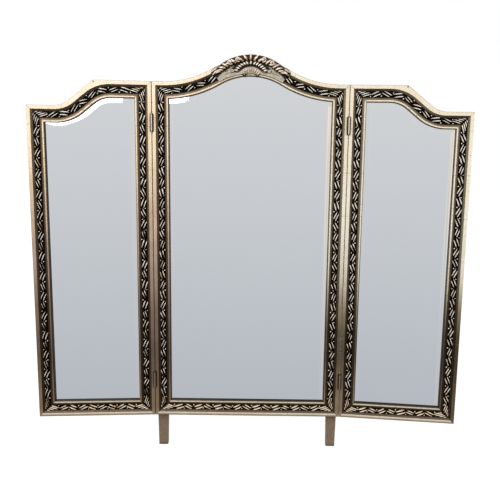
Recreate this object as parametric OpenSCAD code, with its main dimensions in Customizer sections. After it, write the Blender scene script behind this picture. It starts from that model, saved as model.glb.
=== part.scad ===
// Trifold floor mirror: a wide centre panel on two posts and a hinged rear prop, with two folding wings.
// Lengths are in millimetres. The floor is z = 0, and the mirrors face -Y.

/* [Panels] */
// Distance between the two hinge lines
centre_w = 767; // [640:1:900]
// Width of each wing, from its hinge line to its outer edge
wing_w = 474.5; // [420:0.5:520]
// Height of the frames beside the hinges
panel_h = 1360; // [1200:1:1500]
// Drop from the wing's flat top to its low outer shoulder
shoulder_drop = 98.5; // [70:0.5:125]
// Length of the wing's flat top, from the hinge line to the corner
wing_flat = 221; // [200:1:250]
// Steepness of the wing's sloping top edge, in degrees
slope_angle = 39.5; // [34:0.5:45]
// Radius of the hollow curve where the slope meets the shoulder
shoulder_r = 100; // [60:1:120]
// Radius of the moulding's bend under the wing's top corner
bend_r = 152; // [120:1:170]
// How much wider the flat border is along the slope
slope_border = 4; // [0:0.5:6]
// Distance from the centre line to where the centre's top starts to rise
sweep_start = 340; // [320:1:345]
// Radius of the hollow sweep that rises to the crown
sweep_r = 380; // [340:1:400]
// Half the width of the rounded crown
crown_half = 150; // [135:1:160]

/* [Moulding] */
// Depth of the frames, front to back
frame_t = 32; // [28:0.5:40]
// Width of the plain outer border
border_w = 15; // [12:0.5:18]
// Width of the sunk channel that holds the leaf band
channel_w = 41.5; // [38:0.5:44]
// Width of the channel's sloping side, on each side of the leaf band
splay_w = 8.5; // [7:0.5:10]
// Width of the plain inner border beside the glass
sight_w = 8.5; // [8:0.5:12]
// Depth of the channel below the outer border
channel_d = 8; // [5:0.5:10]
// How far the inner border's face lies behind the outer border's
sight_set = 2; // [1:0.5:4]
// Radius on the moulding's worn front edges
edge_r = 2; // [1:0.5:3]
// Width of the rebate behind the inner border
rebate_w = 8; // [6:0.5:10]
// Depth from the front to the glass
glass_set = 13; // [11:0.5:15]
// Thickness of the base strip of the leaf band
band_t = 2; // [1.5:0.5:3]
// Thickness of the glue lines between the pieces of a shaped rail
glue_line = 0.05; // [0.03:0.01:0.1]

/* [Glass and backs] */
// Thickness of the mirror glass
glass_t = 4; // [3:0.5:6]
// Thickness of the backboards
board_t = 4; // [3:0.5:6]
// Thickness of the strips that hold the backboards in
batten_t = 8; // [5:0.5:9]
// Width of those strips
batten_w = 10; // [8:0.5:14]
// Play around the edge of the glass and boards
glass_play = 1.5; // [1:0.5:3]

/* [Crest] */
// Radius of the carved crest's round top
crest_r = 200; // [190:1:215]
// Height of the crest's top above the frame's top corner
crest_rise = 108.5; // [104:0.5:114]
// Width of the crest's outer ring of leaves
crest_ring_w = 26; // [22:0.5:30]
// Thickness of the crest's ground in front of the frame
crest_ground_t = 3; // [2:0.5:5]
// Depth of the crest's back, behind the frame's front
crest_back_t = 16; // [10:0.5:24]
// Height of the middle of the small arch below the crest's top
arch_drop = 104.5; // [100:0.5:108]
// Outer radius of the small arch
arch_r = 79; // [72:0.5:84]
// Width of the small arch
arch_w = 19; // [14:0.5:24]

/* [Hinges] */
// Gap between the frames when the wings stand open flat
hinge_gap = 0.8; // [0.7:0.1:2]
// Distance of the hinge pins in front of the frames
pin_set = 5.5; // [5.3:0.1:7]
// Diameter of the hinge barrels
barrel_d = 10; // [9:0.5:10.4]
// Diameter of the hinge pins
pin_d = 4; // [3:0.5:5]
// Length of each hinge
hinge_l = 60; // [50:1:76]
// Distance from a frame's end to the middle of its nearer hinge
hinge_inset = 156.5; // [120:0.5:200]
// Width of a hinge leaf, measured back from the frame's front
leaf_w = 22; // [18:0.5:25]
// Thickness of a hinge leaf
leaf_t = 1.5; // [1.2:0.1:2]
// Angle that the left wing is folded forward at rest, in degrees
left_fold = 4; // [1:0.5:45]
// Angle that the right wing is folded forward at rest, in degrees
right_fold = 6.5; // [1:0.5:45]

/* [Posts] */
// Backward lean of the centre panel, in degrees
lean = 10; // [7:0.5:12]
// Length of the posts below the frame, on their front faces
post_drop = 148.5; // [110:0.5:180]
// Width of the posts behind the frame
post_w = 43; // [36:0.5:48]
// Width of the posts at the floor
post_foot_w = 37; // [30:0.5:42]
// Thickness of the posts
post_t = 20; // [16:0.5:25]
// Distance from the centre line to the middle of each post
post_x = 356.5; // [345:0.5:360]
// Height of the posts' tops above the bottom of the frame
post_top = 1060; // [1000:1:1150]
// Height of the middle of the cross rail above the bottom of the frame
cross_z = 930; // [850:1:960]
// Height of the cross rail's section
cross_h = 96; // [90:1:120]

/* [Prop] */
// Angle between the open prop and the centre panel, in degrees
prop_angle = 26; // [22:0.5:30]
// Width of each prop leg
prop_leg_w = 30; // [24:0.5:36]
// Thickness of each prop leg
prop_leg_t = 20; // [16:0.5:22]
// Distance from the centre line to the middle of each prop leg
prop_x = 190; // [120:1:240]
// Length of each prop leg above its pivot, which stops it
tail_l = 42; // [34:1:44]
// Diameter of the prop's pivot pins
pivot_d = 8; // [6:0.5:9]
// Distance from the bracket's plate to the pivot
pivot_set = 13; // [12.5:0.5:16]
// Thickness of the bracket's steel
bracket_t = 2.5; // [2:0.5:4]
// Height of the bars that join the prop's legs
bar_h = 40; // [30:1:60]
// Thickness of those bars
bar_t = 15; // [12:0.5:18]
// Distance from the pivot down to the middle of the upper bar
upper_bar_z = 180; // [120:1:300]
// Distance from the pivot down to the middle of the lower bar
lower_bar_z = 860; // [700:1:950]
// Thickness of the rubber pads under the prop
pad_t = 4; // [3:0.5:6]

/* [Fixings] */
// Running clearance round a pin
pin_play = 0.05; // [0.03:0.01:0.1]
// Small gap between pieces that move past each other
gap = 0.3; // [0.2:0.05:0.5]
// Shank diameter of the post screws
post_screw_d = 5; // [4:0.5:6]
// Length of the post screws
post_screw_l = 36; // [28:1:38]
// Shank diameter of the hinge and bracket screws
small_screw_d = 3.5; // [3:0.5:4]
// Length of the hinge and bracket screws
small_screw_l = 15; // [12:1:18]
// Diameter of the dowels in the cross rail's ends
dowel_d = 8; // [6:0.5:10]
// Length of those dowels
dowel_l = 36; // [24:1:38]

/* [Hidden] */
$fn = 96;

// The full width of the moulding and the depths of its steps
mould_w = border_w + channel_w + sight_w;
band_front = channel_d - band_t;
board_y = glass_set + glass_t;
batten_y = board_y + board_t;
// Where the frames' edges stand beside the hinge line, and the leaves' faces in the gap
edge_x = hinge_gap / 2;
leaf_face_x = gap;
mortise_d = leaf_face_x + leaf_t - edge_x;
// Knuckles of each hinge: three on the centre's leaf, two on the wing's
knuckles = 5;
knuckle_l = hinge_l / knuckles;
hinge_zs = [hinge_inset, panel_h - hinge_inset];
// The crown of the centre's top, tangent to the sweeps beside it
sweep_angle = asin((sweep_start - crown_half) / sweep_r);
crown_r = crown_half / sin(sweep_angle);
crown_top = panel_h + (sweep_r + crown_r) * (1 - cos(sweep_angle));
// Height of the frame's bottom edge over the floor, and the pivot's place in the panel and over the floor
sole_z = frame_t * sin(lean) + post_drop * cos(lean);
bracket_y = frame_t + post_t;
pivot_y = bracket_y + bracket_t + pivot_set;
pivot_floor_y = pivot_y * cos(lean) + cross_z * sin(lean);
pivot_floor_z = sole_z - pivot_y * sin(lean) + cross_z * cos(lean);
prop_tilt = prop_angle - lean;
foot_y = pivot_floor_y + pivot_floor_z * tan(prop_tilt);
front_y = wing_w * sin(right_fold) * cos(lean);
panel_y = -(foot_y + prop_leg_t / 2 - front_y) / 2;
prop_l = pivot_floor_z / cos(prop_tilt);
// The size of blocks that cut away everything on one side of a plane
far = 3000;
// Steps of the points along an arc of an outline, in degrees
arc_step = 3;
cream = "#D9CBB5";
dark = "#4A3C31";
taupe = "#8B7D6E";
mirror_grey = "#C4C8CC";

// Frames of reference
module in_panel() {
    translate([0, panel_y, sole_z]) rotate([-lean, 0, 0]) children();
}

module in_right_wing(fold = right_fold) {
    in_panel() translate([centre_w / 2, -pin_set, 0]) rotate([0, 0, -fold])
        translate([0, pin_set, 0]) children();
}

module in_left_wing() {
    mirror([1, 0, 0]) in_right_wing(left_fold) children();
}

module in_prop() {
    translate([0, panel_y + pivot_floor_y, pivot_floor_z]) rotate([prop_tilt, 0, 0]) children();
}

// Cuts away what lies under a level plane
module above(height) {
    difference() {
        children();
        translate([-far / 2, -far / 2, height - far]) cube(far);
    }
}

// A flat shape drawn in x and z, standing between two depths
module slab(from_y, to_y) {
    translate([0, to_y, 0]) rotate([90, 0, 0]) linear_extrude(to_y - from_y) children();
}

// Points along an arc about a centre
function arc(centre, r, from, to) =
    let (steps = ceil(abs(to - from) / arc_step))
    [for (i = [0 : steps]) let (a = from + (to - from) * i / steps) centre + r * [cos(a), sin(a)]];

// The moulding's section, as [distance in from the outer edge, depth behind the front]
corner_steps = 4;
function round_corner(at, r, from) =
    [for (i = [0 : corner_steps]) let (a = from + 90 * i / corner_steps) at + r * [cos(a), sin(a)]];

// The bed of the leaf band lies between the channel's sloping sides, whose feet stand level with its face
bed_from = border_w + splay_w;
bed_to = border_w + channel_w - splay_w;
outer_edge = concat([[0, frame_t]], round_corner([edge_r, edge_r], edge_r, 180));
hollow_edge = concat(
    round_corner([border_w - edge_r / 2, edge_r / 2], edge_r / 2, 270),
    [[bed_from, band_front], [bed_from, channel_d], [bed_to, channel_d], [bed_to, band_front]],
    round_corner([border_w + channel_w + edge_r / 2, sight_set + edge_r / 2], edge_r / 2, 180),
    round_corner([mould_w - 2 * edge_r, sight_set + 2 * edge_r], 2 * edge_r, 270),
    [[mould_w, glass_set], [mould_w - rebate_w, glass_set]]);
section = concat(outer_edge, hollow_edge, [[mould_w - rebate_w, frame_t]]);
// A rail's blank, and what is cut from it to leave the section
cut_over = 1;
blank_w = mould_w + 20;
blank_section = concat(outer_edge, [[blank_w, 0], [blank_w, frame_t]]);
hollow_section = concat([[border_w - edge_r / 2, -cut_over]], hollow_edge,
    [[mould_w - rebate_w, frame_t + cut_over], [blank_w + cut_over, frame_t + cut_over],
    [blank_w + cut_over, -cut_over]]);
// The leaf band's base strip, with its edges sloped
band_play = 0.5;
band_slope_w = 6;
band_slope_h = 1;
band_section = let (a = bed_from + band_play, b = bed_to - band_play)
    [[a, channel_d], [a, band_front + band_slope_h], [a + band_slope_w, band_front],
    [b - band_slope_w, band_front], [b, band_front + band_slope_h], [b, channel_d]];

// Runs of a section: up a stile, along a rail and round an arc
module upright(points, length) {
    linear_extrude(length) polygon(points);
}

module level(points, length) {
    rotate([90, 0, 90]) linear_extrude(length) polygon([for (p = points) [p[1], p[0]]]);
}

// Round an arc whose middle lies on the glass side (turn = 1) or outside the frame (turn = -1)
module bend(points, centre, r, turn, from, sweep) {
    translate([centre[0], 0, centre[1]]) rotate([90, 0, 0]) rotate_extrude(angle = sweep, start = from)
        polygon([for (p = points) [r - turn * p[0], -p[1]]]);
}

// Along a level top edge
module top_run(points, from, length) {
    translate([from[0], 0, from[1]]) mirror([0, 0, 1]) level(points, length);
}

// Turned to run down the wing's slope from the middle of its bend
module down_slope() {
    translate([bend_at[0], 0, bend_at[1]]) rotate([0, slope_angle, 0]) children();
}

// The angle that a glue line takes up at a radius
function glue_angle(r) = glue_line / r * 180 / PI;

// Outlines of the centre panel, a distance in from its edge
centre_edge = centre_w / 2 - edge_x;

module centre_outline(inset) {
    sweep = concat(
        arc([sweep_start, panel_h + sweep_r], sweep_r + inset, 270, 270 - sweep_angle),
        arc([0, crown_top - crown_r], crown_r - inset, 90 - sweep_angle, 90));
    side = centre_edge - inset;
    intersection() {
        polygon(concat([[-centre_edge, inset], [centre_edge, inset], [centre_edge, panel_h - inset]], sweep,
            [for (i = [len(sweep) - 1 : -1 : 0]) [-sweep[i][0], sweep[i][1]]],
            [[-centre_edge, panel_h - inset]]));
        translate([-side, 0]) square([2 * side, crown_top + far]);
    }
}

// The wing's top turns down once at its corner and back at its shoulder
half_turn = slope_angle / 2;
shoulder = panel_h - shoulder_drop;
slope_run = shoulder_drop / tan(slope_angle);
mould_flat = wing_flat - slope_border / sin(slope_angle);
// The moulding's bend is named where the border meets the channel
bend_edge_r = bend_r + border_w;

// Rounded to a hundredth, so that straight and turned pieces of a rail meet exactly
function snap(v) = round(v * 100) / 100;
function foot_x(flat) = snap(flat + slope_run + shoulder_r * tan(half_turn));
corner = [wing_flat, panel_h];
bend_at = [snap(mould_flat - bend_edge_r * tan(half_turn)), panel_h - bend_edge_r];
foot_at = [foot_x(wing_flat), shoulder + shoulder_r];
mould_foot_at = [foot_x(mould_flat), shoulder + shoulder_r];
// The same places seen from the middle of the bend, along the slope and away from it
function on_slope(p) = let (d = p - bend_at)
    [snap(d[0] * cos(slope_angle) - d[1] * sin(slope_angle)),
    snap(d[0] * sin(slope_angle) + d[1] * cos(slope_angle))];
slope_corner = on_slope(corner);
slope_foot_at = [on_slope(foot_at)[0], bend_edge_r + slope_border + shoulder_r];
slope_mould_foot_at = [on_slope(mould_foot_at)[0], bend_edge_r + shoulder_r];

// The wing's outline inside its border, with the moulding's bend
module wing_outline(inset) {
    polygon(concat([[edge_x + inset, inset], [edge_x + inset, panel_h - inset]],
        arc(bend_at, bend_edge_r - inset, 90, 90 - slope_angle),
        arc(mould_foot_at, shoulder_r + inset, 270 - slope_angle, 270),
        [[wing_w - inset, shoulder - inset], [wing_w - inset, inset]]));
}

// Blocks that mitre the frame's corners
module mitre(points) {
    slab(-far / 2, far / 2) polygon(points);
}

module stile_mitre(height) {
    mitre([[0, 0], [mould_w, mould_w], [mould_w, height - mould_w], [0, height]]);
}

// Knuckle spans of a hinge along its pin, as [start, end], for the centre's or the wing's leaf
function spans(first) =
    [for (i = [first : 2 : knuckles - 1]) [i * knuckle_l - hinge_l / 2, (i + 1) * knuckle_l - hinge_l / 2]];

// The screws of a hinge leaf: their rows, the distance between rows, and their depth behind the frame's front
screw_rows = [-1, 0, 1];
screw_pitch = 21;
screw_depth = 13.5;

// One hinge leaf standing along x > 0 of the pin, with its own knuckles and room for the other's
module hinge_leaf(own, other) {
    difference() {
        union() {
            translate([leaf_face_x, 0, -hinge_l / 2]) cube([leaf_t, leaf_w + pin_set, hinge_l]);
            for (s = own) translate([0, 0, s[0] + gap / 2]) cylinder(d = barrel_d, h = s[1] - s[0] - gap);
        }
        for (s = other) translate([0, 0, s[0] - gap / 2])
            cylinder(d = barrel_d + 2 * gap, h = s[1] - s[0] + gap);
        translate([0, 0, -hinge_l]) cylinder(d = pin_d + 2 * pin_play, h = 2 * hinge_l);
        for (row = screw_rows) at_leaf_screw(row)
            countersunk(small_screw_d + 2 * pin_play, small_screw_l, leaf_t);
    }
}

module at_leaf_screw(row) {
    translate([leaf_face_x, pin_set + screw_depth, row * screw_pitch]) rotate([0, 90, 0]) children();
}

// A countersunk screw, its head's face at z = 0 and its point upwards
module countersunk(d, length, head_h) {
    cylinder(d1 = d + 2 * head_h, d2 = d, h = head_h);
    cylinder(d = d, h = length);
}

module screw(d, length, head_h) {
    slot_w = d / 4;
    slot_h = head_h / 3;
    difference() {
        countersunk(d, length, head_h);
        translate([-d, -slot_w / 2, -cut_over]) cube([2 * d, slot_w, cut_over + slot_h]);
    }
}

// The pin's ends: a flat collar and a round finial
collar_d = barrel_d - 3;
collar_t = 1.4;
finial_r = 3.2;
finial_set = 2;

module hinge_pin() {
    cylinder(d = pin_d, h = hinge_l, center = true);
    for (end = [-1, 1]) translate([0, 0, end * (hinge_l / 2 + gap + collar_t / 2)]) {
        cylinder(d = collar_d, h = collar_t, center = true);
        translate([0, 0, end * finial_set]) sphere(finial_r);
    }
}

// Everything cut into a stile for its two hinges: the leaf's bed and its screws' holes
module hinge_cuts() {
    for (z = hinge_zs) translate([0, -pin_set, z]) {
        translate([-cut_over, -cut_over, -hinge_l / 2])
            cube([cut_over + leaf_face_x + leaf_t, leaf_w + pin_set + cut_over, hinge_l]);
        for (row = screw_rows) at_leaf_screw(row)
            cylinder(d = small_screw_d + 2 * pin_play, h = small_screw_l + cut_over);
    }
}

// The centre's hinge parts stand on the right at x = centre_w / 2, mirrored for the leaf's own side
module centre_hinge(z) {
    in_panel() translate([centre_w / 2, -pin_set, z]) mirror([1, 0, 0]) children();
}

// Centre panel
module centre_stile() {
    post_hole_x = centre_edge - post_x;
    difference() {
        intersection() {
            upright(section, panel_h);
            stile_mitre(panel_h);
        }
        translate([-edge_x, 0, 0]) hinge_cuts();
        for (z = post_screw_zs) translate([post_hole_x, bracket_y, z]) rotate([90, 0, 0])
            cylinder(d = post_screw_d + 2 * pin_play, h = post_screw_l + cut_over);
    }
}

module centre_left_stile() {
    color(cream) in_panel() translate([-centre_edge, 0, 0]) centre_stile();
}

module centre_right_stile() {
    color(cream) mirror([1, 0, 0]) in_panel() translate([-centre_edge, 0, 0]) centre_stile();
}

module centre_bottom_run(points) {
    intersection() {
        translate([-centre_edge, 0, 0]) level(points, 2 * centre_edge);
        mitre([[-centre_edge, 0], [centre_edge, 0], [centre_edge - mould_w, mould_w],
            [mould_w - centre_edge, mould_w]]);
    }
}

// The swept top: two ends with their hollow sweeps, and the crown between them
module centre_top_run(points) {
    sweep_at = [sweep_start, panel_h + sweep_r];
    glue = glue_angle(sweep_r);
    for (side = [0, 1]) mirror([side, 0, 0]) intersection() {
        union() {
            top_run(points, [sweep_start, panel_h], centre_edge - sweep_start);
            bend(points, sweep_at, sweep_r, -1, 270 - sweep_angle + glue, sweep_angle - glue);
        }
        mitre([[0, panel_h - blank_w], [centre_edge - blank_w, panel_h - blank_w], [centre_edge, panel_h],
            [centre_edge, panel_h + sweep_r], [0, panel_h + sweep_r]]);
    }
    bend(points, [0, crown_top - crown_r], crown_r, 1, 90 - sweep_angle, 2 * sweep_angle);
}

module centre_bottom_rail() {
    color(cream) in_panel() centre_bottom_run(section);
}

module centre_top_rail() {
    color(cream) in_panel() centre_top_run(section);
}

// The leaf band up a stile whose outer edge is at x = 0
module side_band(height) {
    intersection() {
        upright(band_section, height);
        stile_mitre(height);
    }
}

module centre_leaf_band() {
    color(dark) in_panel() {
        for (side = [0, 1]) mirror([side, 0, 0]) translate([-centre_edge, 0, 0]) side_band(panel_h);
        centre_bottom_run(band_section);
        centre_top_run(band_section);
    }
}

module centre_glass() {
    color(mirror_grey) in_panel() slab(glass_set, board_y) centre_outline(mould_w - rebate_w + glass_play);
}

module centre_backboard() {
    color("tan") in_panel() slab(board_y, batten_y) centre_outline(mould_w - rebate_w + glass_play);
}

module centre_battens() {
    color("burlywood") in_panel() slab(batten_y, batten_y + batten_t) difference() {
        centre_outline(mould_w - rebate_w + gap);
        centre_outline(mould_w - rebate_w + batten_w);
    }
}

// Crest: a ground over the crown, with a round bead for its ring of leaves and another for its small arch
crest_z = panel_h + crest_rise - crest_r;
arch_z = panel_h + crest_rise - arch_drop;
// The ground's edge stands inside the carving's edge
crest_overhang = 3;
crown_z = crown_top - crown_r;
channel_r = crown_r - border_w - channel_w;
// The relief of each bead, and how far its foot is sunk in the ground
ring_relief = 7;
arch_relief = 6;
bead_sink = 1;
bead_steps = 8;
// Half the angle that each bead spans, and the ground left beside the ring
ring_margin = 4;
ring_spread = 42;
arch_spread = 58;
// How many degrees short of the crest's sides its tongue in the channel ends
tongue_in = 1;

module crown_sector(inner_r, outer_r, half = sweep_angle) {
    side = 2 * outer_r;
    intersection() {
        translate([0, crown_z]) difference() {
            circle(outer_r);
            circle(inner_r);
        }
        translate([0, crown_z]) polygon([[0, 0], side * [sin(half), cos(half)], [0, side],
            side * [-sin(half), cos(half)]]);
    }
}

module crest_shape() {
    intersection() {
        translate([0, crest_z]) circle(crest_r - crest_overhang);
        crown_sector(channel_r + band_play, crown_r + crest_rise);
    }
}

// A half-round bead along an arc
module bead(centre_z, mean_r, width, relief, spread) {
    points = [for (i = [0 : bead_steps])
        [mean_r - cos(180 * i / bead_steps) * width / 2, sin(180 * i / bead_steps) * relief - bead_sink]];
    translate([0, -crest_ground_t, centre_z]) rotate([90, 0, 0])
        rotate_extrude(angle = 2 * spread, start = 90 - spread) polygon(points);
}

module crest() {
    color(dark) in_panel() {
        slab(-crest_ground_t, 0) crest_shape();
        slab(-crest_ground_t / 2, band_front - gap)
            crown_sector(crown_r - bed_to + band_play, crown_r - bed_from - band_play,
                sweep_angle - tongue_in);
        slab(0, crest_back_t) difference() {
            crest_shape();
            centre_outline(-gap);
        }
        bead(crest_z, crest_r - crest_ring_w / 2, crest_ring_w - 2 * ring_margin, ring_relief, ring_spread);
        bead(arch_z, arch_r - arch_w / 2, arch_w, arch_relief, arch_spread);
    }
}

// Wings, drawn as the right wing with the hinge line at x = 0
module wing_hinge_stile() {
    difference() {
        translate([edge_x, 0, 0]) intersection() {
            upright(section, panel_h);
            stile_mitre(panel_h);
        }
        hinge_cuts();
    }
}

module outer_run(points) {
    translate([wing_w, 0, 0]) mirror([1, 0, 0]) intersection() {
        upright(points, shoulder);
        stile_mitre(shoulder);
    }
}

module wing_bottom_run(points) {
    intersection() {
        translate([edge_x, 0, 0]) level(points, wing_w - edge_x);
        mitre([[edge_x, 0], [wing_w, 0], [wing_w - mould_w, mould_w], [edge_x + mould_w, mould_w]]);
    }
}

// The wing's top rail is three pieces: the flat with half the bend, the slope, and the shoulder.
// Each is a blank with its hollow cut round the bend; the corner is mitred and the foot is butted.
module wing_top_flat() {
    reach = blank_w + cut_over;
    difference() {
        intersection() {
            top_run(blank_section, [edge_x, panel_h], wing_flat - edge_x);
            mitre([[edge_x, panel_h], corner - [glue_line, 0],
                corner - [glue_line + reach * tan(half_turn), reach],
                [edge_x + reach, panel_h - reach]]);
        }
        top_run(hollow_section, [edge_x, panel_h], bend_at[0] - edge_x);
        bend(hollow_section, bend_at, bend_edge_r, 1, 90 - slope_angle, slope_angle);
    }
}

module wing_top_slope() {
    reach = blank_w + cut_over;
    foot_reach = shoulder_r + reach;
    foot_cut = slope_foot_at - [glue_line, 0];
    edge_z = bend_edge_r + slope_border;
    down_slope() difference() {
        intersection() {
            union() {
                top_run(blank_section, [slope_corner[0], edge_z], slope_foot_at[0] - slope_corner[0]);
                bend(blank_section, slope_foot_at, shoulder_r, -1, 270, slope_angle);
            }
            mitre([slope_corner, slope_corner + [reach * tan(half_turn), -reach],
                foot_cut + foot_reach * [sin(half_turn), -cos(half_turn)], foot_cut]);
        }
        bend(hollow_section, [0, 0], bend_edge_r, 1, 90, slope_angle);
        top_run(hollow_section, [0, bend_edge_r], slope_mould_foot_at[0]);
        bend(hollow_section, slope_mould_foot_at, shoulder_r, -1, 270, slope_angle);
    }
}

module wing_top_shoulder() {
    reach = blank_w + cut_over;
    foot_reach = shoulder_r + reach;
    difference() {
        intersection() {
            union() {
                bend(blank_section, foot_at, shoulder_r, -1, 270 - slope_angle, slope_angle);
                top_run(blank_section, [foot_at[0], shoulder], wing_w - foot_at[0]);
            }
            mitre([foot_at, foot_at - foot_reach * [sin(half_turn), cos(half_turn)],
                [wing_w - reach, shoulder - reach], [wing_w, shoulder], [wing_w, foot_at[1]]]);
        }
        bend(hollow_section, mould_foot_at, shoulder_r, -1, 270 - slope_angle, slope_angle);
        top_run(hollow_section, [mould_foot_at[0], shoulder], wing_w - mould_foot_at[0]);
    }
}

module wing_top_rail() {
    wing_top_flat();
    wing_top_slope();
    wing_top_shoulder();
}

module wing_leaf_band() {
    foot_glue = glue_angle(shoulder_r + border_w);
    translate([edge_x, 0, 0]) side_band(panel_h);
    outer_run(band_section);
    wing_bottom_run(band_section);
    intersection() {
        top_run(band_section, [edge_x, panel_h], bend_at[0] - edge_x);
        mitre([[edge_x, panel_h], [bend_at[0], panel_h], [bend_at[0], panel_h - mould_w],
            [edge_x + mould_w, panel_h - mould_w]]);
    }
    bend(band_section, bend_at, bend_edge_r, 1, 90 - slope_angle, slope_angle);
    down_slope() {
        top_run(band_section, [glue_line, bend_edge_r], slope_mould_foot_at[0] - glue_line);
        bend(band_section, slope_mould_foot_at, shoulder_r, -1, 270, slope_angle - foot_glue);
    }
    intersection() {
        top_run(band_section, [mould_foot_at[0], shoulder], wing_w - mould_foot_at[0]);
        mitre([[mould_foot_at[0], shoulder], [wing_w, shoulder], [wing_w - mould_w, shoulder - mould_w],
            [mould_foot_at[0], shoulder - mould_w]]);
    }
}

module wing_batten_ring() {
    slab(batten_y, batten_y + batten_t) difference() {
        wing_outline(mould_w - rebate_w + gap);
        wing_outline(mould_w - rebate_w + batten_w);
    }
}

module left_wing_hinge_stile() {
    color(cream) in_left_wing() wing_hinge_stile();
}

module left_wing_outer_stile() {
    color(cream) in_left_wing() outer_run(section);
}

module left_wing_bottom_rail() {
    color(cream) in_left_wing() wing_bottom_run(section);
}

module left_wing_top_rail() {
    color(cream) in_left_wing() wing_top_rail();
}

module left_wing_leaf_band() {
    color(dark) in_left_wing() wing_leaf_band();
}

module left_wing_glass() {
    color(mirror_grey) in_left_wing() slab(glass_set, board_y) wing_outline(mould_w - rebate_w + glass_play);
}

module left_wing_backboard() {
    color("tan") in_left_wing() slab(board_y, batten_y) wing_outline(mould_w - rebate_w + glass_play);
}

module left_wing_battens() {
    color("burlywood") in_left_wing() wing_batten_ring();
}

module right_wing_hinge_stile() {
    color(cream) in_right_wing() wing_hinge_stile();
}

module right_wing_outer_stile() {
    color(cream) in_right_wing() outer_run(section);
}

module right_wing_bottom_rail() {
    color(cream) in_right_wing() wing_bottom_run(section);
}

module right_wing_top_rail() {
    color(cream) in_right_wing() wing_top_rail();
}

module right_wing_leaf_band() {
    color(dark) in_right_wing() wing_leaf_band();
}

module right_wing_glass() {
    color(mirror_grey) in_right_wing() slab(glass_set, board_y) wing_outline(mould_w - rebate_w + glass_play);
}

module right_wing_backboard() {
    color("tan") in_right_wing() slab(board_y, batten_y) wing_outline(mould_w - rebate_w + glass_play);
}

module right_wing_battens() {
    color("burlywood") in_right_wing() wing_batten_ring();
}

// Hinges: z is a hinge's height, and the left ones are the right ones mirrored
module centre_leaf_at(z) {
    color("goldenrod") centre_hinge(z) hinge_leaf(spans(0), spans(1));
}

module wing_leaf_at(z, fold) {
    color("goldenrod") in_right_wing(fold) translate([0, -pin_set, z]) hinge_leaf(spans(1), spans(0));
}

module left_wing_leaf_at(z) {
    mirror([1, 0, 0]) wing_leaf_at(z, left_fold);
}

module pin_at(z) {
    color("darkgoldenrod") centre_hinge(z) hinge_pin();
}

module hinge_screws() {
    for (z = hinge_zs, row = screw_rows) translate([0, -pin_set, z]) at_leaf_screw(row)
        screw(small_screw_d, small_screw_l, leaf_t);
}

module centre_hinge_screws() {
    color("goldenrod") for (side = [0, 1]) mirror([side, 0, 0])
        in_panel() translate([centre_w / 2, 0, 0]) mirror([1, 0, 0]) hinge_screws();
}

module left_wing_hinge_screws() {
    color("goldenrod") in_left_wing() hinge_screws();
}

module right_wing_hinge_screws() {
    color("goldenrod") in_right_wing() hinge_screws();
}

// Posts and cross rail: heights of the posts' screws, depth of their heads, and the feet's cut corners
post_screw_zs = [90, 400, 710, 1010];
post_head_h = 2.6;
foot_corner = 3;

module post() {
    side = post_w / 2;
    foot = post_foot_w / 2;
    low = -post_drop - frame_t;
    difference() {
        above(0) in_panel() difference() {
            translate([post_x, 0, 0]) slab(frame_t, frame_t + post_t)
                polygon([[-foot, low], [foot, low], [side, 0],
                [side, post_top - side / 2], [side / 2, post_top], [-side / 2, post_top],
                [-side, post_top - side / 2], [-side, 0]]);
            for (z = post_screw_zs) translate([post_x, bracket_y, z]) rotate([90, 0, 0])
                countersunk(post_screw_d + 2 * pin_play, post_screw_l, post_head_h);
            dowels();
        }
        for (edge = [-1, 1]) translate([post_x + edge * foot, panel_y - far / 2, 0]) rotate([0, 45, 0])
            cube([foot_corner, far, foot_corner]);
    }
}

module left_post() {
    color(taupe) mirror([1, 0, 0]) post();
}

module right_post() {
    color(taupe) post();
}

module post_screws() {
    color("silver") in_panel() for (side = [-1, 1], z = post_screw_zs)
        translate([side * post_x, bracket_y, z])
        rotate([90, 0, 0]) screw(post_screw_d, post_screw_l, post_head_h);
}

// Two dowels in each end of the cross rail
dowel_rows = [-1, 1];

module dowels(play = pin_play) {
    for (row = dowel_rows) translate([post_x - post_w / 2, frame_t + post_t / 2, cross_z + row * cross_h / 4])
        rotate([0, 90, 0]) cylinder(d = dowel_d + 2 * play, h = dowel_l + 2 * play, center = true);
}

module cross_rail_dowels() {
    color("burlywood") in_panel() for (side = [0, 1]) mirror([side, 0, 0]) dowels(0);
}

module cross_rail() {
    half = post_x - post_w / 2;
    color(taupe) in_panel() difference() {
        translate([-half, frame_t, cross_z - cross_h / 2]) cube([2 * half, post_t, cross_h]);
        for (side = [0, 1]) mirror([side, 0, 0]) {
            dowels();
            translate([prop_x, bracket_y + bracket_t, cross_z]) bracket_screw_places()
                cylinder(d = small_screw_d + 2 * pin_play, h = small_screw_l + cut_over);
        }
    }
}

// Prop brackets: a folded steel plate with two ears, on the cross rail's back
ear_x = prop_leg_w / 2 + gap;
plate_side = 13;
plate_w = 2 * (ear_x + bracket_t + plate_side);
plate_margin = 3;
plate_h = cross_h - 2 * plate_margin;
ear_r = 9;
// The ears run a hair into the plate, so that they are one piece with it
ear_lap = 0.01;
bracket_screw_x = plate_w / 2 - 7;
bracket_screw_z = plate_h / 2 - 10;
bracket_head_h = 0.7 * bracket_t;

module bracket_screw_places() {
    for (x = [-1, 1], z = [-1, 1]) translate([x * bracket_screw_x, 0, z * bracket_screw_z])
        rotate([90, 0, 0]) children();
}

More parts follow.
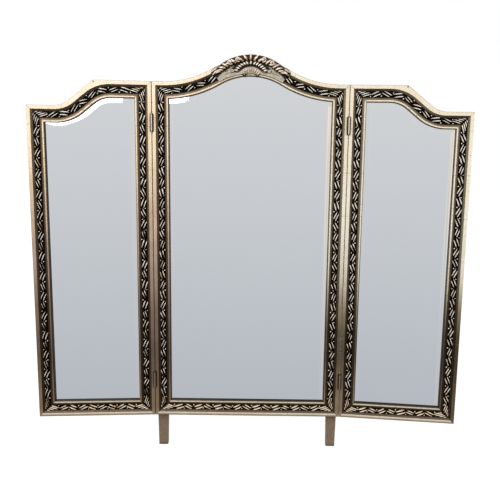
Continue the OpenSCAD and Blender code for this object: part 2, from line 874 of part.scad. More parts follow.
module bracket() {
    translate([prop_x, bracket_y, cross_z]) difference() {
        union() {
            translate([-plate_w / 2, 0, -plate_h / 2]) cube([plate_w, bracket_t, plate_h]);
            for (x = [-ear_x - bracket_t, ear_x]) translate([x, bracket_t, 0]) {
                translate([0, -ear_lap, -ear_r]) cube([bracket_t, pivot_set + ear_lap, 2 * ear_r]);
                translate([0, pivot_set, 0]) rotate([0, 90, 0]) cylinder(r = ear_r, h = bracket_t);
            }
        }
        translate([-plate_w / 2, bracket_t + pivot_set, 0]) rotate([0, 90, 0])
            cylinder(d = pivot_d + 2 * pin_play, h = plate_w);
        translate([0, bracket_t, 0]) bracket_screw_places()
            countersunk(small_screw_d + 2 * pin_play, small_screw_l, bracket_head_h);
    }
}

module left_prop_bracket() {
    color("silver") mirror([1, 0, 0]) in_panel() bracket();
}

module right_prop_bracket() {
    color("silver") in_panel() bracket();
}

module bracket_screws() {
    color("silver") in_panel() for (side = [-1, 1]) translate([side * prop_x, bracket_y + bracket_t, cross_z])
        bracket_screw_places() screw(small_screw_d, small_screw_l, bracket_head_h);
}

module prop_pivot_pins() {
    head_t = 2;
    head_d = pivot_d + 5;
    reach = ear_x + bracket_t + gap;
    color("silver") in_prop() for (side = [-1, 1]) translate([side * prop_x, 0, 0]) rotate([0, 90, 0]) {
        cylinder(d = pivot_d, h = 2 * reach, center = true);
        for (end = [-1, 1]) translate([0, 0, end * (reach + head_t / 2)])
            cylinder(d = head_d, h = head_t, center = true);
    }
}

// Prop
module prop_leg() {
    above(pad_t) in_prop() translate([prop_x, 0, 0]) difference() {
        translate([-prop_leg_w / 2, -prop_leg_t / 2, -prop_l - prop_leg_t])
            cube([prop_leg_w, prop_leg_t, prop_l + prop_leg_t + tail_l]);
        rotate([0, 90, 0]) cylinder(d = pivot_d + 2 * pin_play, h = 2 * prop_leg_w, center = true);
        rotate([-prop_angle, 0, 0]) translate([-prop_leg_w, gap - pivot_set - far, -far / 2])
            cube([2 * prop_leg_w, far, far]);
        bar_screw_places() countersunk(small_screw_d + 2 * pin_play, 2 * prop_leg_w, post_head_h);
    }
}

module bar_screw_places() {
    for (z = [upper_bar_z, lower_bar_z]) translate([prop_leg_w / 2, 0, -z]) rotate([0, -90, 0]) children();
}

module prop_bar(z) {
    half = prop_x - prop_leg_w / 2;
    screw_reach = 2 * prop_leg_w;
    color(taupe) in_prop() difference() {
        translate([-half, -bar_t / 2, -z - bar_h / 2]) cube([2 * half, bar_t, bar_h]);
        for (side = [0, 1]) mirror([side, 0, 0]) translate([prop_x, 0, 0]) bar_screw_places()
            cylinder(d = small_screw_d + 2 * pin_play, h = screw_reach + cut_over);
    }
}

module left_prop_leg() {
    color(taupe) mirror([1, 0, 0]) prop_leg();
}

module right_prop_leg() {
    color(taupe) prop_leg();
}

module prop_upper_bar() {
    prop_bar(upper_bar_z);
}

module prop_lower_bar() {
    prop_bar(lower_bar_z);
}

module prop_bar_screws() {
    color("silver") in_prop() for (side = [0, 1]) mirror([side, 0, 0])
        translate([prop_x, 0, 0]) bar_screw_places()
        screw(small_screw_d, 2 * prop_leg_w, post_head_h);
}

module prop_pads() {
    color("dimgray") for (side = [0, 1]) mirror([side, 0, 0]) intersection() {
        in_prop() translate([prop_x - prop_leg_w / 2, -prop_leg_t / 2, -prop_l - prop_leg_t])
            cube([prop_leg_w, prop_leg_t, prop_l]);
        translate([0, -far / 2, 0]) cube([far, far, pad_t]);
    }
}

centre_left_stile();
centre_right_stile();
centre_bottom_rail();
centre_top_rail();
centre_leaf_band();
centre_glass();
centre_backboard();
centre_battens();
crest();
left_wing_hinge_stile();
left_wing_outer_stile();
left_wing_bottom_rail();
left_wing_top_rail();
left_wing_leaf_band();
left_wing_glass();
left_wing_backboard();
left_wing_battens();
right_wing_hinge_stile();
right_wing_outer_stile();
right_wing_bottom_rail();
right_wing_top_rail();
right_wing_leaf_band();
right_wing_glass();
right_wing_backboard();
right_wing_battens();
mirror([1, 0, 0]) centre_leaf_at(hinge_zs[1]);  // left_upper_hinge_centre_leaf
left_wing_leaf_at(hinge_zs[1]);  // left_upper_hinge_wing_leaf
mirror([1, 0, 0]) pin_at(hinge_zs[1]);  // left_upper_hinge_pin
mirror([1, 0, 0]) centre_leaf_at(hinge_zs[0]);  // left_lower_hinge_centre_leaf
left_wing_leaf_at(hinge_zs[0]);  // left_lower_hinge_wing_leaf
mirror([1, 0, 0]) pin_at(hinge_zs[0]);  // left_lower_hinge_pin
centre_leaf_at(hinge_zs[1]);  // right_upper_hinge_centre_leaf
wing_leaf_at(hinge_zs[1], right_fold);  // right_upper_hinge_wing_leaf
pin_at(hinge_zs[1]);  // right_upper_hinge_pin
centre_leaf_at(hinge_zs[0]);  // right_lower_hinge_centre_leaf
wing_leaf_at(hinge_zs[0], right_fold);  // right_lower_hinge_wing_leaf
pin_at(hinge_zs[0]);  // right_lower_hinge_pin
centre_hinge_screws();
left_wing_hinge_screws();
right_wing_hinge_screws();
left_post();
right_post();
cross_rail();
cross_rail_dowels();
post_screws();
left_prop_bracket();
right_prop_bracket();
bracket_screws();
prop_pivot_pins();
left_prop_leg();
right_prop_leg();
prop_upper_bar();
prop_lower_bar();
prop_bar_screws();
prop_pads();
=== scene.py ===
# A folding three-panel floor mirror in champagne-gilded frames: the looks that go over its measured frame.
import math
from functools import partial

import bmesh
import bpy
from mathutils import Matrix, Vector


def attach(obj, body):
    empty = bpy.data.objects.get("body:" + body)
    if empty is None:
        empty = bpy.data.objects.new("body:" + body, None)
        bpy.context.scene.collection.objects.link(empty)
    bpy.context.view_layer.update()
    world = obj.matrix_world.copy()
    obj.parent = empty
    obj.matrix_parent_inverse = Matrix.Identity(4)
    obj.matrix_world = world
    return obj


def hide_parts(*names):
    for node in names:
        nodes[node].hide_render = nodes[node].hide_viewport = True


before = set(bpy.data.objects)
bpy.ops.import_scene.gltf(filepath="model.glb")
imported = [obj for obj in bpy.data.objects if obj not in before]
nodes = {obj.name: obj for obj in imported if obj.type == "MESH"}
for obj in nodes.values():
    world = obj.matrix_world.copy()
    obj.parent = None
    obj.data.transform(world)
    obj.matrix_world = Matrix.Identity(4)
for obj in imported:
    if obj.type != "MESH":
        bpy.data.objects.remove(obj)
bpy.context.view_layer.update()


# Camera. It stands a little right of the middle at eye height, 2.2 m in front of the mirror, and looks down
# by 19 degrees. The lens and a small shift give the photograph's framing.
camera = bpy.data.objects.new("camera", bpy.data.cameras.new("camera"))
bpy.context.collection.objects.link(camera)
bpy.context.scene.camera = camera
camera.data.sensor_width = 36.0
camera.data.lens = 43.2
camera.data.shift_x = -0.0382
camera.data.shift_y = -0.0108
camera.location = (0.05857, -2.39804, 1.65328)
camera.rotation_euler = (math.radians(71.065), math.radians(-1.006), math.radians(-0.212))


# Studio. A white paper floor that keeps a soft shadow, an even white sky, and three soft lamps.
# White is only what the camera, the mirror glass and the metal see: it adds no light to the object.
def colour(hex_code):
    """An sRGB hex value as linear red, green and blue, and a full alpha."""
    parts = [int(hex_code[i:i + 2], 16) / 255 for i in (1, 3, 5)]
    return tuple(p / 12.92 if p <= 0.04045 else ((p + 0.055) / 1.055) ** 2.4 for p in parts) + (1.0,)


def node(tree, kind, inputs=(), stops=(), **settings):
    """Add a node. Inputs go by place or by name: a number, a hex colour, a socket, or a node for its first output."""
    made = tree.nodes.new(kind if "Node" in kind else "ShaderNode" + kind)
    for key, value in settings.items():
        setattr(made, key, value)
    for key, value in inputs.items() if isinstance(inputs, dict) else enumerate(inputs):
        socket = next(s for i, s in enumerate(made.inputs) if s.enabled and key in (i, s.name))
        if isinstance(value, bpy.types.Node):
            value = next(s for s in value.outputs if s.enabled)
        if isinstance(value, bpy.types.NodeSocket):
            tree.links.new(value, socket)
        else:
            socket.default_value = colour(value) if isinstance(value, str) else value
    for i, (spot, shade) in enumerate(stops):
        stop = made.color_ramp.elements[i] if i < 2 else made.color_ramp.elements.new(spot)
        stop.position, stop.color = spot, colour(shade)
    return made


def started(name):
    """An empty material, node() for its tree, and the Object coordinates that its patterns are laid out in."""
    made = bpy.data.materials.new(name)
    made.use_nodes = True
    made.node_tree.nodes.clear()
    add = partial(node, made.node_tree)
    return made, add, add("TexCoord").outputs["Object"]


scene = bpy.context.scene
scene.view_settings.view_transform = "Standard"
world = bpy.data.worlds.new("studio sky")
scene.world = world
world.use_nodes = True
world.node_tree.nodes.clear()
add = partial(node, world.node_tree)
path = add("LightPath")
mirrored = add("Math", (path.outputs["Is Glossy Ray"], path.outputs["Is Transmission Ray"]), operation="MAXIMUM")
seen = add("Math", (path.outputs["Is Camera Ray"], mirrored), operation="MAXIMUM")
lit = add("Background", {"Color": "#FFFFFF", "Strength": 0.55})
white = add("Background", {"Color": "#FFFFFF", "Strength": 1.0})
sky = add("MixShader", (seen, lit, white))
add("OutputWorld", {"Surface": sky})

REACH = 300  # metres, past all that a camera or the glass sees
mesh = bpy.data.meshes.new("floor")
mesh.from_pydata([(-REACH, -REACH, 0), (REACH, -REACH, 0), (REACH, REACH, 0), (-REACH, REACH, 0)], [], [(0, 1, 2, 3)])
floor = bpy.data.objects.new("floor", mesh)
bpy.context.collection.objects.link(floor)
paper, add, at = started("matt white studio paper")
path = add("LightPath")
mirrored = add("Math", (path.outputs["Is Glossy Ray"], path.outputs["Is Transmission Ray"]), operation="MAXIMUM")
glow = add("Math", (path.outputs["Is Camera Ray"], 0.85), operation="MULTIPLY")
fibre = add("TexNoise", {"Vector": at, "Scale": 400.0})
fibre = add("MapRange", {"Value": fibre, "To Min": 0.29, "To Max": 0.33})
shone = add("Emission", {"Color": "#FFFFFF", "Strength": glow})
direct = add("AddShader", (shone, add("BsdfDiffuse", {"Color": fibre})))
both = add("MixShader", (mirrored, direct, add("Emission", {"Color": "#FFFFFF", "Strength": 1.0})))
add("OutputMaterial", {"Surface": both})
mesh.materials.append(paper)

AIM = Vector((0, 0, 1.1))
for name, place, size, watts in (
        ("key", (-1.6, -2.8, 3.4), 2.2, 62), ("fill", (2.6, -2.2, 2.4), 2.4, 26), ("back", (0.0, 3.0, 3.0), 2.4, 46)):
    lamp = bpy.data.objects.new(name, bpy.data.lights.new(name, "AREA"))
    lamp.data.shape = "SQUARE"
    lamp.data.size = size
    lamp.data.energy = watts
    bpy.context.collection.objects.link(lamp)
    lamp.location = place
    lamp.rotation_euler = (AIM - Vector(place)).to_track_quat("-Z", "Y").to_euler()


# Moulded frames. Each panel's stiles and rails are softwood under gesso and champagne silver leaf, mitred, glued
# and pinned. The leaf carries painted reflection, pale at the top, and painted shade, brown towards the foot; dark wax
# lies in the hollows, deepened there by painted shade.
# Sizes are in millimetres, in a panel's own frame: x from its middle or its hinge line, y back from its face, z up.
MM = 0.001
LEAN = 10  # degrees
FOOT_Y, FOOT_Z = -243.929, 151.801  # the lower front edge of the centre panel, in the object's frame
PANEL_H = 1360  # the straight sides
CENTRE_EDGE = 383.1  # half the centre frame's width
HINGE_X = 383.5  # from the middle to the hinge line
HINGE_Z = 156.5  # from a panel's top or foot to the middle of a hinge
PIN_SET = 5.5  # how far the pins stand in front of the faces
EDGE_X, WING_W = 0.4, 474.5  # a wing's two edges, from its hinge line
SHOULDER_H = PANEL_H - 98.5  # a wing's outer side
centre_place = Matrix.Translation(Vector((0, FOOT_Y, FOOT_Z)) * MM) @ Matrix.Rotation(math.radians(-LEAN), 4, "X")


def wing_place(side, fold):
    """From a wing's own frame, with its hinge line at x = 0, to the object's frame."""
    turned = Matrix.Translation(Vector((HINGE_X, -PIN_SET, 0)) * MM) @ Matrix.Rotation(math.radians(-fold), 4, "Z")
    return Matrix.Diagonal((side, 1, 1, 1)) @ centre_place @ turned @ Matrix.Translation((0, PIN_SET * MM, 0))


left_place, right_place = wing_place(-1, 4), wing_place(1, 6.5)


def gilding(name, place, upright, span, heights, nail, sheen_sides, shaded_right):
    """Champagne leaf for one panel's uprights or level members, patterned in the panel's own frame.

    span is the panel's left and right edge, heights its height at each, and the pair of side flags whether each side
    takes the paler ramp, a painted reflection.
    """
    made, add, at = started(name)
    side = -1 if place.determinant() < 0 else 1
    left, right = (x * MM for x in span)
    rigid = (Matrix.Diagonal((side, 1, 1, 1)) @ place).inverted()
    local = add("Mapping", {
        "Vector": at, "Location": rigid.translation, "Rotation": rigid.to_euler(), "Scale": (side, 1, 1)})
    at = add("SeparateXYZ", (local,))
    height = add("MapRange", {"Value": at.outputs["Z"], "From Max": 1.4})
    on_right = add("Math", (at.outputs["X"], (left + right) / 2), operation="GREATER_THAN")
    # Painted reflection and shade: warm at the top, browner below the waist, paler on some members; near the rails'
    # foot a painted highlight and shade.
    foot = [(0.0, "#A89783"), (0.008, "#8F7F6D"), (0.024, "#7C6D5A"), (0.06, "#7F705D")] if upright else [
        (0.0, "#8A7E6E"), (0.004, "#978A79"), (0.006, "#E9DCCB"), (0.0108, "#E7DAC9"), (0.036, "#9A8B76"),
        (0.041, "#DCD1BC")]
    base = add("ValToRGB", (height,), stops=foot + [
        (0.19, "#5F5147"), (0.335, "#7E6E63"), (0.48, "#A8988B"), (0.63, "#CDB6A2"), (0.777, "#F4DDBF"),
        (0.92, "#F5DFC8")])
    sheen_ramp = add("ValToRGB", (height,), stops=foot + [
        (0.19, "#504937"), (0.27, "#5E5644"), (0.335, "#8C8370"), (0.4, "#BCB5A6"), (0.47, "#E4DDCD"),
        (0.6, "#F7EFDC"), (0.92, "#F2E4CE")])
    which = add("MapRange", {"Value": on_right, "To Min": sheen_sides[0], "To Max": sheen_sides[1]})
    base = add("Mix", {"Factor": which, "A": base, "B": sheen_ramp}, data_type="RGBA")
    if shaded_right:
        # Painted shade darkens the right-hand member below the middle.
        wear_and_shade = add("MapRange", {"Value": height, "From Min": 0.4, "From Max": 0.24, "To Max": 0.6})
        wear_and_shade = add("Math", (wear_and_shade, on_right), operation="MULTIPLY")
        base = add("Mix", {"Factor": wear_and_shade, "A": base, "B": "#2E2519"}, data_type="RGBA")
    # Clouding in the leaf, about 110 mm across, and a faint lap line every 85 mm where two leaves meet.
    cloud = add("TexNoise", {"Vector": local, "Scale": 9.0, "Detail": 5.0, "Roughness": 0.62})
    tint = add("ValToRGB", (cloud,), stops=[(0.3, "#A8927A"), (0.7, "#FFF4DF")])
    base = add("Mix", {"Factor": 0.38, "A": base, "B": tint}, data_type="RGBA", blend_type="OVERLAY")
    along = at.outputs["Z"] if upright else at.outputs["X"]
    lap = add("Math", (along, 0.085), operation="PINGPONG")
    lap = add("MapRange", {"Value": lap, "From Min": 0.0005, "From Max": 0.0022, "To Min": 0.35, "To Max": 0})
    base = add("Mix", {"Factor": lap, "A": base, "B": "#9A7F62"}, data_type="RGBA")
    # Rubbed spots 3 to 8 mm across, where brown shows through, and flyspeck.
    rub = add("TexNoise", {"Vector": local, "Scale": 95.0, "Detail": 8.0, "Roughness": 0.72})
    rubbed = add("MapRange", {"Value": rub, "From Min": 0.57, "From Max": 0.68, "To Max": 0.75})
    base = add("Mix", {"Factor": rubbed, "A": base, "B": "#80654C"}, data_type="RGBA")
    # Umber glaze was left on every slope of the moulding and wiped off its flats, more thinly in streaks.
    forward = place.to_3x3() @ Vector((0, -1, 0))
    normal = add("TexCoord").outputs["Normal"]
    facing = add("VectorMath", (normal, forward), operation="DOT_PRODUCT")
    glaze_at = add("Mapping", {"Vector": local, "Scale": (90, 90, 9) if upright else (9, 90, 90)})
    streak = add("TexNoise", {"Vector": glaze_at, "Scale": 2.0, "Detail": 4.0, "Roughness": 0.6})
    streak = add("MapRange", {"Value": streak, "From Min": 0.3, "From Max": 0.7, "To Min": 1.0, "To Max": 0.93})
    glazed = add("MapRange", {"Value": facing, "From Min": 0.985, "From Max": 0.955})
    glazed = add("Math", (glazed, streak), operation="MULTIPLY")
    from_left = add("Math", (at.outputs["X"], left), operation="SUBTRACT")
    from_right = add("Math", (right, at.outputs["X"]), operation="SUBTRACT")
    arris = add("Math", (from_left, from_right), operation="MINIMUM")
    inside = add("Math", (arris, 0.004), operation="GREATER_THAN")
    glazed = add("Math", (glazed, inside), operation="MULTIPLY")
    # The glaze is painted darker on sides turned down and to the right, as shade from the upper left, and darker
    # towards the foot.
    light_way = place.to_3x3() @ Vector((-0.6 * side, 0, 0.8))
    turned = add("VectorMath", (normal, light_way), operation="DOT_PRODUCT")
    turned = add("MapRange", {"Value": turned, "From Min": -0.5, "From Max": 0.5})
    low = add("ValToRGB", (turned,), stops=[(0.1, "#3B332B"), (0.24, "#4E443C"), (0.78, "#736B62"), (0.9, "#645D55")])
    high = add("ValToRGB", (turned,), stops=[(0.1, "#3B332B"), (0.24, "#665C52"), (0.74, "#8A8171"), (0.9, "#8A8171")])
    glaze = add("MapRange", {"Value": height, "From Min": 0.3, "From Max": 0.78})
    glaze = add("Mix", {"Factor": glaze, "A": low, "B": high}, data_type="RGBA")
    base = add("Mix", {"Factor": glazed, "A": base, "B": glaze}, data_type="RGBA", blend_type="MULTIPLY")
    pooled = add("MapRange", {"Value": at.outputs["Y"], "From Min": 0.0036, "From Max": 0.0062, "To Max": 0.85})
    pooled = add("Math", (glazed, pooled), operation="MULTIPLY")
    base = add("Mix", {"Factor": pooled, "A": base, "B": "#1C120A"}, data_type="RGBA")
    # Brown toning spreads 10 mm out of the hollows, and black wax fills the last 3 mm; both follow occlusion, so they
    # are also painted shade.
    broad = add("AmbientOcclusion", {"Distance": 0.014}, samples=8)
    toning_and_shade = add("MapRange", {"Value": broad.outputs["AO"], "From Min": 0.9, "From Max": 0.5, "To Max": 0.7})
    base = add("Mix", {"Factor": toning_and_shade, "A": base, "B": "#5A4534"}, data_type="RGBA")
    close = add("AmbientOcclusion", {"Distance": 0.006}, samples=8)
    wax_and_shade = add("MapRange", {"Value": close.outputs["AO"], "From Min": 0.78, "From Max": 0.45})
    base = add("Mix", {"Factor": wax_and_shade, "A": base, "B": "#1B120C"}, data_type="RGBA")
    # Worn arrises: where the rounded normal leaves the true one, the leaf has gone to red-brown clay.
    bevel = add("Bevel", {"Radius": 0.002}, samples=4)
    true = add("NewGeometry").outputs["True Normal"]
    edge = add("VectorMath", (bevel, true), operation="DOT_PRODUCT")
    edge = add("MapRange", {"Value": edge, "From Min": 0.97, "From Max": 0.8})
    gone = add("MapRange", {"Value": rub, "From Min": 0.5, "From Max": 0.68, "To Max": 0.35})
    edge = add("Math", (edge, gone), operation="MULTIPLY")
    base = add("Mix", {"Factor": edge, "A": base, "B": "#6E4A33"}, data_type="RGBA")
    # A painted shadow lies in a line along both sides of each hinge barrel, and a finer dark line marks the joint.
    if upright:
        hinge_side = arris if left < 0 else from_left
        along_hinge = at.outputs["Z"]
        for middle in (PANEL_H / 2 * MM, (PANEL_H / 2 - HINGE_Z) * MM):
            along_hinge = add("Math", (along_hinge, middle), operation="SUBTRACT")
            along_hinge = add("Math", (along_hinge,), operation="ABSOLUTE")
        along_hinge = add("MapRange", {"Value": along_hinge, "From Min": 0.037, "From Max": 0.033})
        barrel_shade_and_joint = add("MapRange", {"Value": hinge_side, "From Min": 0.0076, "From Max": 0.0058, "To Max": 0.92})
        barrel_shade_and_joint = add("Math", (barrel_shade_and_joint, along_hinge), operation="MULTIPLY")
        joint = add("MapRange", {"Value": hinge_side, "From Min": 0.0022, "From Max": 0.0008, "To Max": 0.4})
        barrel_shade_and_joint = add("Math", (barrel_shade_and_joint, joint), operation="MAXIMUM")
        base = add("Mix", {"Factor": barrel_shade_and_joint, "A": base, "B": "#3A281B"}, data_type="RGBA")
    # A hairline runs 67 mm in along each mitre, and a stopped nail hole lies beside it.
    top = add("MapRange", {"Value": on_right, "To Min": heights[0] * MM, "To Max": heights[1] * MM})
    top = add("Math", (top, at.outputs["Z"]), operation="SUBTRACT")
    up = add("Math", (at.outputs["Z"], top), operation="MINIMUM")
    mitre = add("Math", (arris, up), operation="SUBTRACT")
    mitre = add("Math", (mitre,), operation="ABSOLUTE")
    mitre = add("MapRange", {"Value": mitre, "From Min": 0.0009, "From Max": 0.0003})
    mitre = add("Math", (mitre, add("Math", (up, 0.067), operation="LESS_THAN")), operation="MULTIPLY")
    base = add("Mix", {"Factor": mitre, "A": base, "B": "#3A2A1E"}, data_type="RGBA")
    if nail:
        hole = add("CombineXYZ", {"X": at.outputs["X"], "Z": at.outputs["Z"]})
        hole = add("VectorMath", (hole, (nail[0] * MM, 0, nail[1] * MM)), operation="DISTANCE")
        hole = add("MapRange", {"Value": hole, "From Min": 0.0034, "From Max": 0.0022})
        base = add("Mix", {"Factor": hole, "A": base, "B": "#2A1C13"}, data_type="RGBA")
    # Behind the front 26 mm the wood is bare of leaf, stained brown, with its grain along the member.
    grain_at = add("Mapping", {"Vector": local, "Scale": (60, 60, 4) if upright else (4, 60, 60)})
    grain = add("TexNoise", {"Vector": grain_at, "Scale": 4.0, "Detail": 6.0, "Roughness": 0.6, "Distortion": 0.4})
    stain = add("ValToRGB", (grain,), stops=[(0.32, "#4A3424"), (0.5, "#6B4F38"), (0.68, "#8A6A4C")])
    behind = add("MapRange", {"Value": at.outputs["Y"], "From Min": 0.0255, "From Max": 0.0275})
    base = add("Mix", {"Factor": behind, "A": base, "B": stain}, data_type="RGBA")
    metal = add("MapRange", {"Value": behind, "To Min": 0.3, "To Max": 0.0})
    rough = add("MapRange", {"Value": rub, "From Min": 0.3, "From Max": 0.7, "To Min": 0.30, "To Max": 0.56})
    fine = add("TexNoise", {"Vector": local, "Scale": 420.0, "Detail": 4.0})
    bump = add("Bump", {"Strength": 0.25, "Distance": 0.0006, "Height": fine})
    bump = add("Bump", {"Strength": 0.3, "Distance": 0.003, "Height": cloud, "Normal": bump})
    shader = add("BsdfPrincipled", {
        "Base Color": base, "Metallic": metal, "Roughness": rough, "Specular IOR Level": 0.12, "Normal": bump})
    add("OutputMaterial", {"Surface": shader})
    return made


def coat(finish, names):
    """Give CAD nodes their finish."""
    for name in names:
        for slot in nodes[name].material_slots:
            slot.material = finish


centre_sizes = (-CENTRE_EDGE, CENTRE_EDGE), (PANEL_H, PANEL_H), None
wing_sizes = (EDGE_X, WING_W), (PANEL_H, SHOULDER_H), (219, 1353)
for label, place, (span, heights, nail), sheen_sides, shaded_right in (
        ("centre", centre_place, centre_sizes, (0, 1), False),
        ("left_wing", left_place, wing_sizes, (0, 0), False),
        ("right_wing", right_place, wing_sizes, (1, 1), True)):
    for upright, kind in ((True, "_stile"), (False, "_rail")):
        leafed = gilding("champagne leaf on gesso, " + (label + kind).replace("_", " ") + "s", place, upright, span,
                         heights, None if upright else nail, sheen_sides, upright and shaded_right)
        coat(leafed, [name for name in nodes if name.startswith(label) and name.endswith(kind)])


# Meeting faces. Dark sheets 0.38 mm thick stand on the edges that meet at the hinges, between the hinge leaves, as
# painted shade, so that each joint closes to a dark line.
made, add, at = started("dark sheet standing for joint shade, brushed")
brushed = add("Mapping", {"Vector": at, "Scale": (60, 60, 5)})
brushed = add("TexNoise", {"Vector": brushed, "Scale": 5.0, "Detail": 5.0, "Roughness": 0.6})
base = add("ValToRGB", (brushed,), stops=[(0.35, "#1A110B"), (0.6, "#2E1F15"), (0.75, "#46301F")])
bump = add("Bump", {"Strength": 0.4, "Distance": 0.0004, "Height": brushed})
shader = add("BsdfPrincipled", {"Base Color": base, "Roughness": 0.9, "Specular IOR Level": 0.1, "Normal": bump})
add("OutputMaterial", {"Surface": shader})


def finished(name, bm, place, body, finish, smooth=True):
    """A shape in a panel's own frame becomes a piece in its place."""
    bm.transform(place)
    bm.normal_update()
    bmesh.ops.recalc_face_normals(bm, faces=bm.faces)
    for face in bm.faces:
        face.smooth = smooth
        face.material_index = 0
    piece = bpy.data.objects.new(name, bpy.data.meshes.new(name))
    bm.to_mesh(piece.data)
    bm.free()
    piece.data.materials.append(finish)
    bpy.context.collection.objects.link(piece)
    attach(piece, body)
    return piece


SHEET = 0.38
SHEET_FRONT, SHEET_BACK = 2.2, 31.2
HALF_LEAF = 31.5  # half the height of a hinge, with a little room
heights = [2, HINGE_Z - HALF_LEAF, HINGE_Z + HALF_LEAF]
heights += [PANEL_H - z for z in reversed(heights)]
for name, place, body, x0 in (
        ("left_joint_clay_centre", Matrix.Diagonal((-1, 1, 1, 1)) @ centre_place, "centre_panel", CENTRE_EDGE),
        ("right_joint_clay_centre", centre_place, "centre_panel", CENTRE_EDGE),
        ("left_joint_clay_wing", left_place, "left_wing", EDGE_X - SHEET),
        ("right_joint_clay_wing", right_place, "right_wing", EDGE_X - SHEET)):
    bm = bmesh.new()
    for z0, z1 in zip(heights[::2], heights[1::2]):
        middle = Vector((x0 + SHEET / 2, (SHEET_FRONT + SHEET_BACK) / 2, (z0 + z1) / 2)) * MM
        size = Matrix.Diagonal((SHEET * MM, (SHEET_BACK - SHEET_FRONT) * MM, (z1 - z0) * MM, 1))
        bmesh.ops.create_cube(bm, size=1, matrix=Matrix.Translation(middle) @ size)
    finished(name, bm, place, body, made)


# Mirror glass. Silvered plate glass, 4 mm thick, behind each frame's sight edge, its own edge ground to an 18 mm bevel.
# It shows the white studio, with faint wipe marks; its silver is painted greyer towards the foot, a painted reflection,
# and its right-hand bevels carry painted warm reflection streaks above the waist. Each CAD plate is copied, and the
# edge of its face is ground back.
made, add, at = started("silvered plate glass, bevelled")
height = add("MapRange", {"Value": add("SeparateXYZ", (at,)).outputs["Z"], "From Min": 0.18, "From Max": 1.5})
# Painted reflection: the silver is greyer towards the foot.
painted_mirror_tone = add("ValToRGB", (height,), stops=[(0.0, "#B4B8BF"), (0.5, "#C3C7CC"), (1.0, "#D1D3D6")])
rigid = centre_place.inverted()
# Painted reflection: warm streaks laid on the bevels, fading lower down.
glint = add("Mapping", {"Vector": at, "Location": rigid.translation, "Rotation": rigid.to_euler()})
glint = add("Mapping", {"Vector": glint, "Scale": (210, 10, 1.2)})
glint = add("TexNoise", {"Vector": glint, "Scale": 1.0, "Detail": 2.0})
glint = add("ValToRGB", (glint,), stops=[(0.36, "#BCBEBF"), (0.5, "#D6D1C7"), (0.64, "#EFE6D8")])
bevelled = add("Attribute", attribute_name="bevel").outputs["Fac"]
faded = add("MapRange", {"Value": height, "From Min": 0.3, "From Max": 0.75, "To Min": 0.15})
bevelled = add("Math", (bevelled, faded), operation="MULTIPLY")
painted_mirror_tone = add("Mix", {"Factor": bevelled, "A": painted_mirror_tone, "B": glint}, data_type="RGBA")
wipe = add("TexNoise", {"Vector": add("Mapping", {"Vector": at, "Scale": (3, 3, 14)}), "Detail": 3.0})
wipe = add("MapRange", {"Value": wipe, "From Min": 0.35, "From Max": 0.75, "To Min": 0.008, "To Max": 0.03})
shader = add("BsdfPrincipled", {"Base Color": painted_mirror_tone, "Metallic": 1.0, "Roughness": wipe})
add("OutputMaterial", {"Surface": shader})
COVERED, BEVEL, SET_BACK = 6.5, 18, 1.4  # the bevel's width under the frame and in sight, and its depth at the edge
DIM_GLINT = 0.12  # the part of the streaks that the other bevels show
for label, place, body, glint_share in (
        ("centre", centre_place, "centre_panel", 1.0), ("left_wing", left_place, "left_wing", 0.35),
        ("right_wing", right_place, "right_wing", 1.0)):
    plate = nodes[label + "_glass"]
    bm = bmesh.new()
    bm.from_mesh(plate.data)
    glint_weight = bm.faces.layers.float.new("bevel")
    bm.transform(place.inverted() @ plate.matrix_world)
    bmesh.ops.remove_doubles(bm, verts=bm.verts, dist=1e-6)
    bmesh.ops.recalc_face_normals(bm, faces=bm.faces)
    bmesh.ops.dissolve_limit(bm, angle_limit=math.radians(1), verts=bm.verts, edges=bm.edges)
    front = [face for face in bm.faces if face.normal.y < -0.99]
    ring = bmesh.ops.inset_region(bm, faces=front, thickness=(COVERED + BEVEL) * MM, use_even_offset=True)["faces"]
    for v in {v for face in ring for v in face.verts} - {v for face in front for v in face.verts}:
        v.co.y += SET_BACK * MM
    bm.normal_update()
    side = -1 if place.determinant() < 0 else 1
    for face in ring:
        face[glint_weight] = glint_share if face.normal.x * side > 0.05 else DIM_GLINT
    piece = finished(label + "_bevelled_glass", bm, place, body, made, smooth=False)
    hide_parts(label + "_glass")


# Leaf bands. A strip of pressed composition is glued in each frame's sunk channel, silvered, and then patinated
# almost black, so that only its raised leaves shine. This is the strip's ground.
made, add, at = started("composition, black-brown patina")
mottle = add("TexNoise", {"Vector": at, "Scale": 150.0, "Detail": 5.0})
base = add("ValToRGB", (mottle,), stops=[(0.4, "#020101"), (0.62, "#0E0805"), (0.8, "#35271B")])
stipple = add("TexVoronoi", {"Vector": at, "Scale": 450.0})
bump = add("Bump", {"Strength": 0.6, "Distance": 0.0008, "Height": stipple.outputs["Distance"]})
rough = add("MapRange", {"Value": mottle, "To Min": 0.45, "To Max": 0.7})
shader = add("BsdfPrincipled", {"Base Color": base, "Roughness": rough, "Specular IOR Level": 0.04, "Normal": bump})
add("OutputMaterial", {"Surface": shader})
coat(made, [name for name in nodes if name.endswith("leaf_band")])

# The leaves: sets of long narrow leaves run in a zigzag, each set 41 mm on from the last and leaning the other
# way, with a berry in every angle of the zigzag, and a chevron of leaves where two channels meet at a mitre.
BAND_MID = 35.75  # from a frame's edge to the middle of its channel
BAND_FLOOR = 6.2
LEAF_PITCH = 41
LEAF_LEAN = 22  # degrees
CORNER_ROOM, CREST_ROOM = 64, 18  # left free of leaves at a mitre, and where the crest starts


def skinned(bm, rings):
    """Faces from each ring of points to the next."""
    n = len(rings[0])
    for a, b in zip(rings, rings[1:]):
        for k in range(n):
            bm.faces.new((a[k], a[(k + 1) % n], b[(k + 1) % n], b[k]))


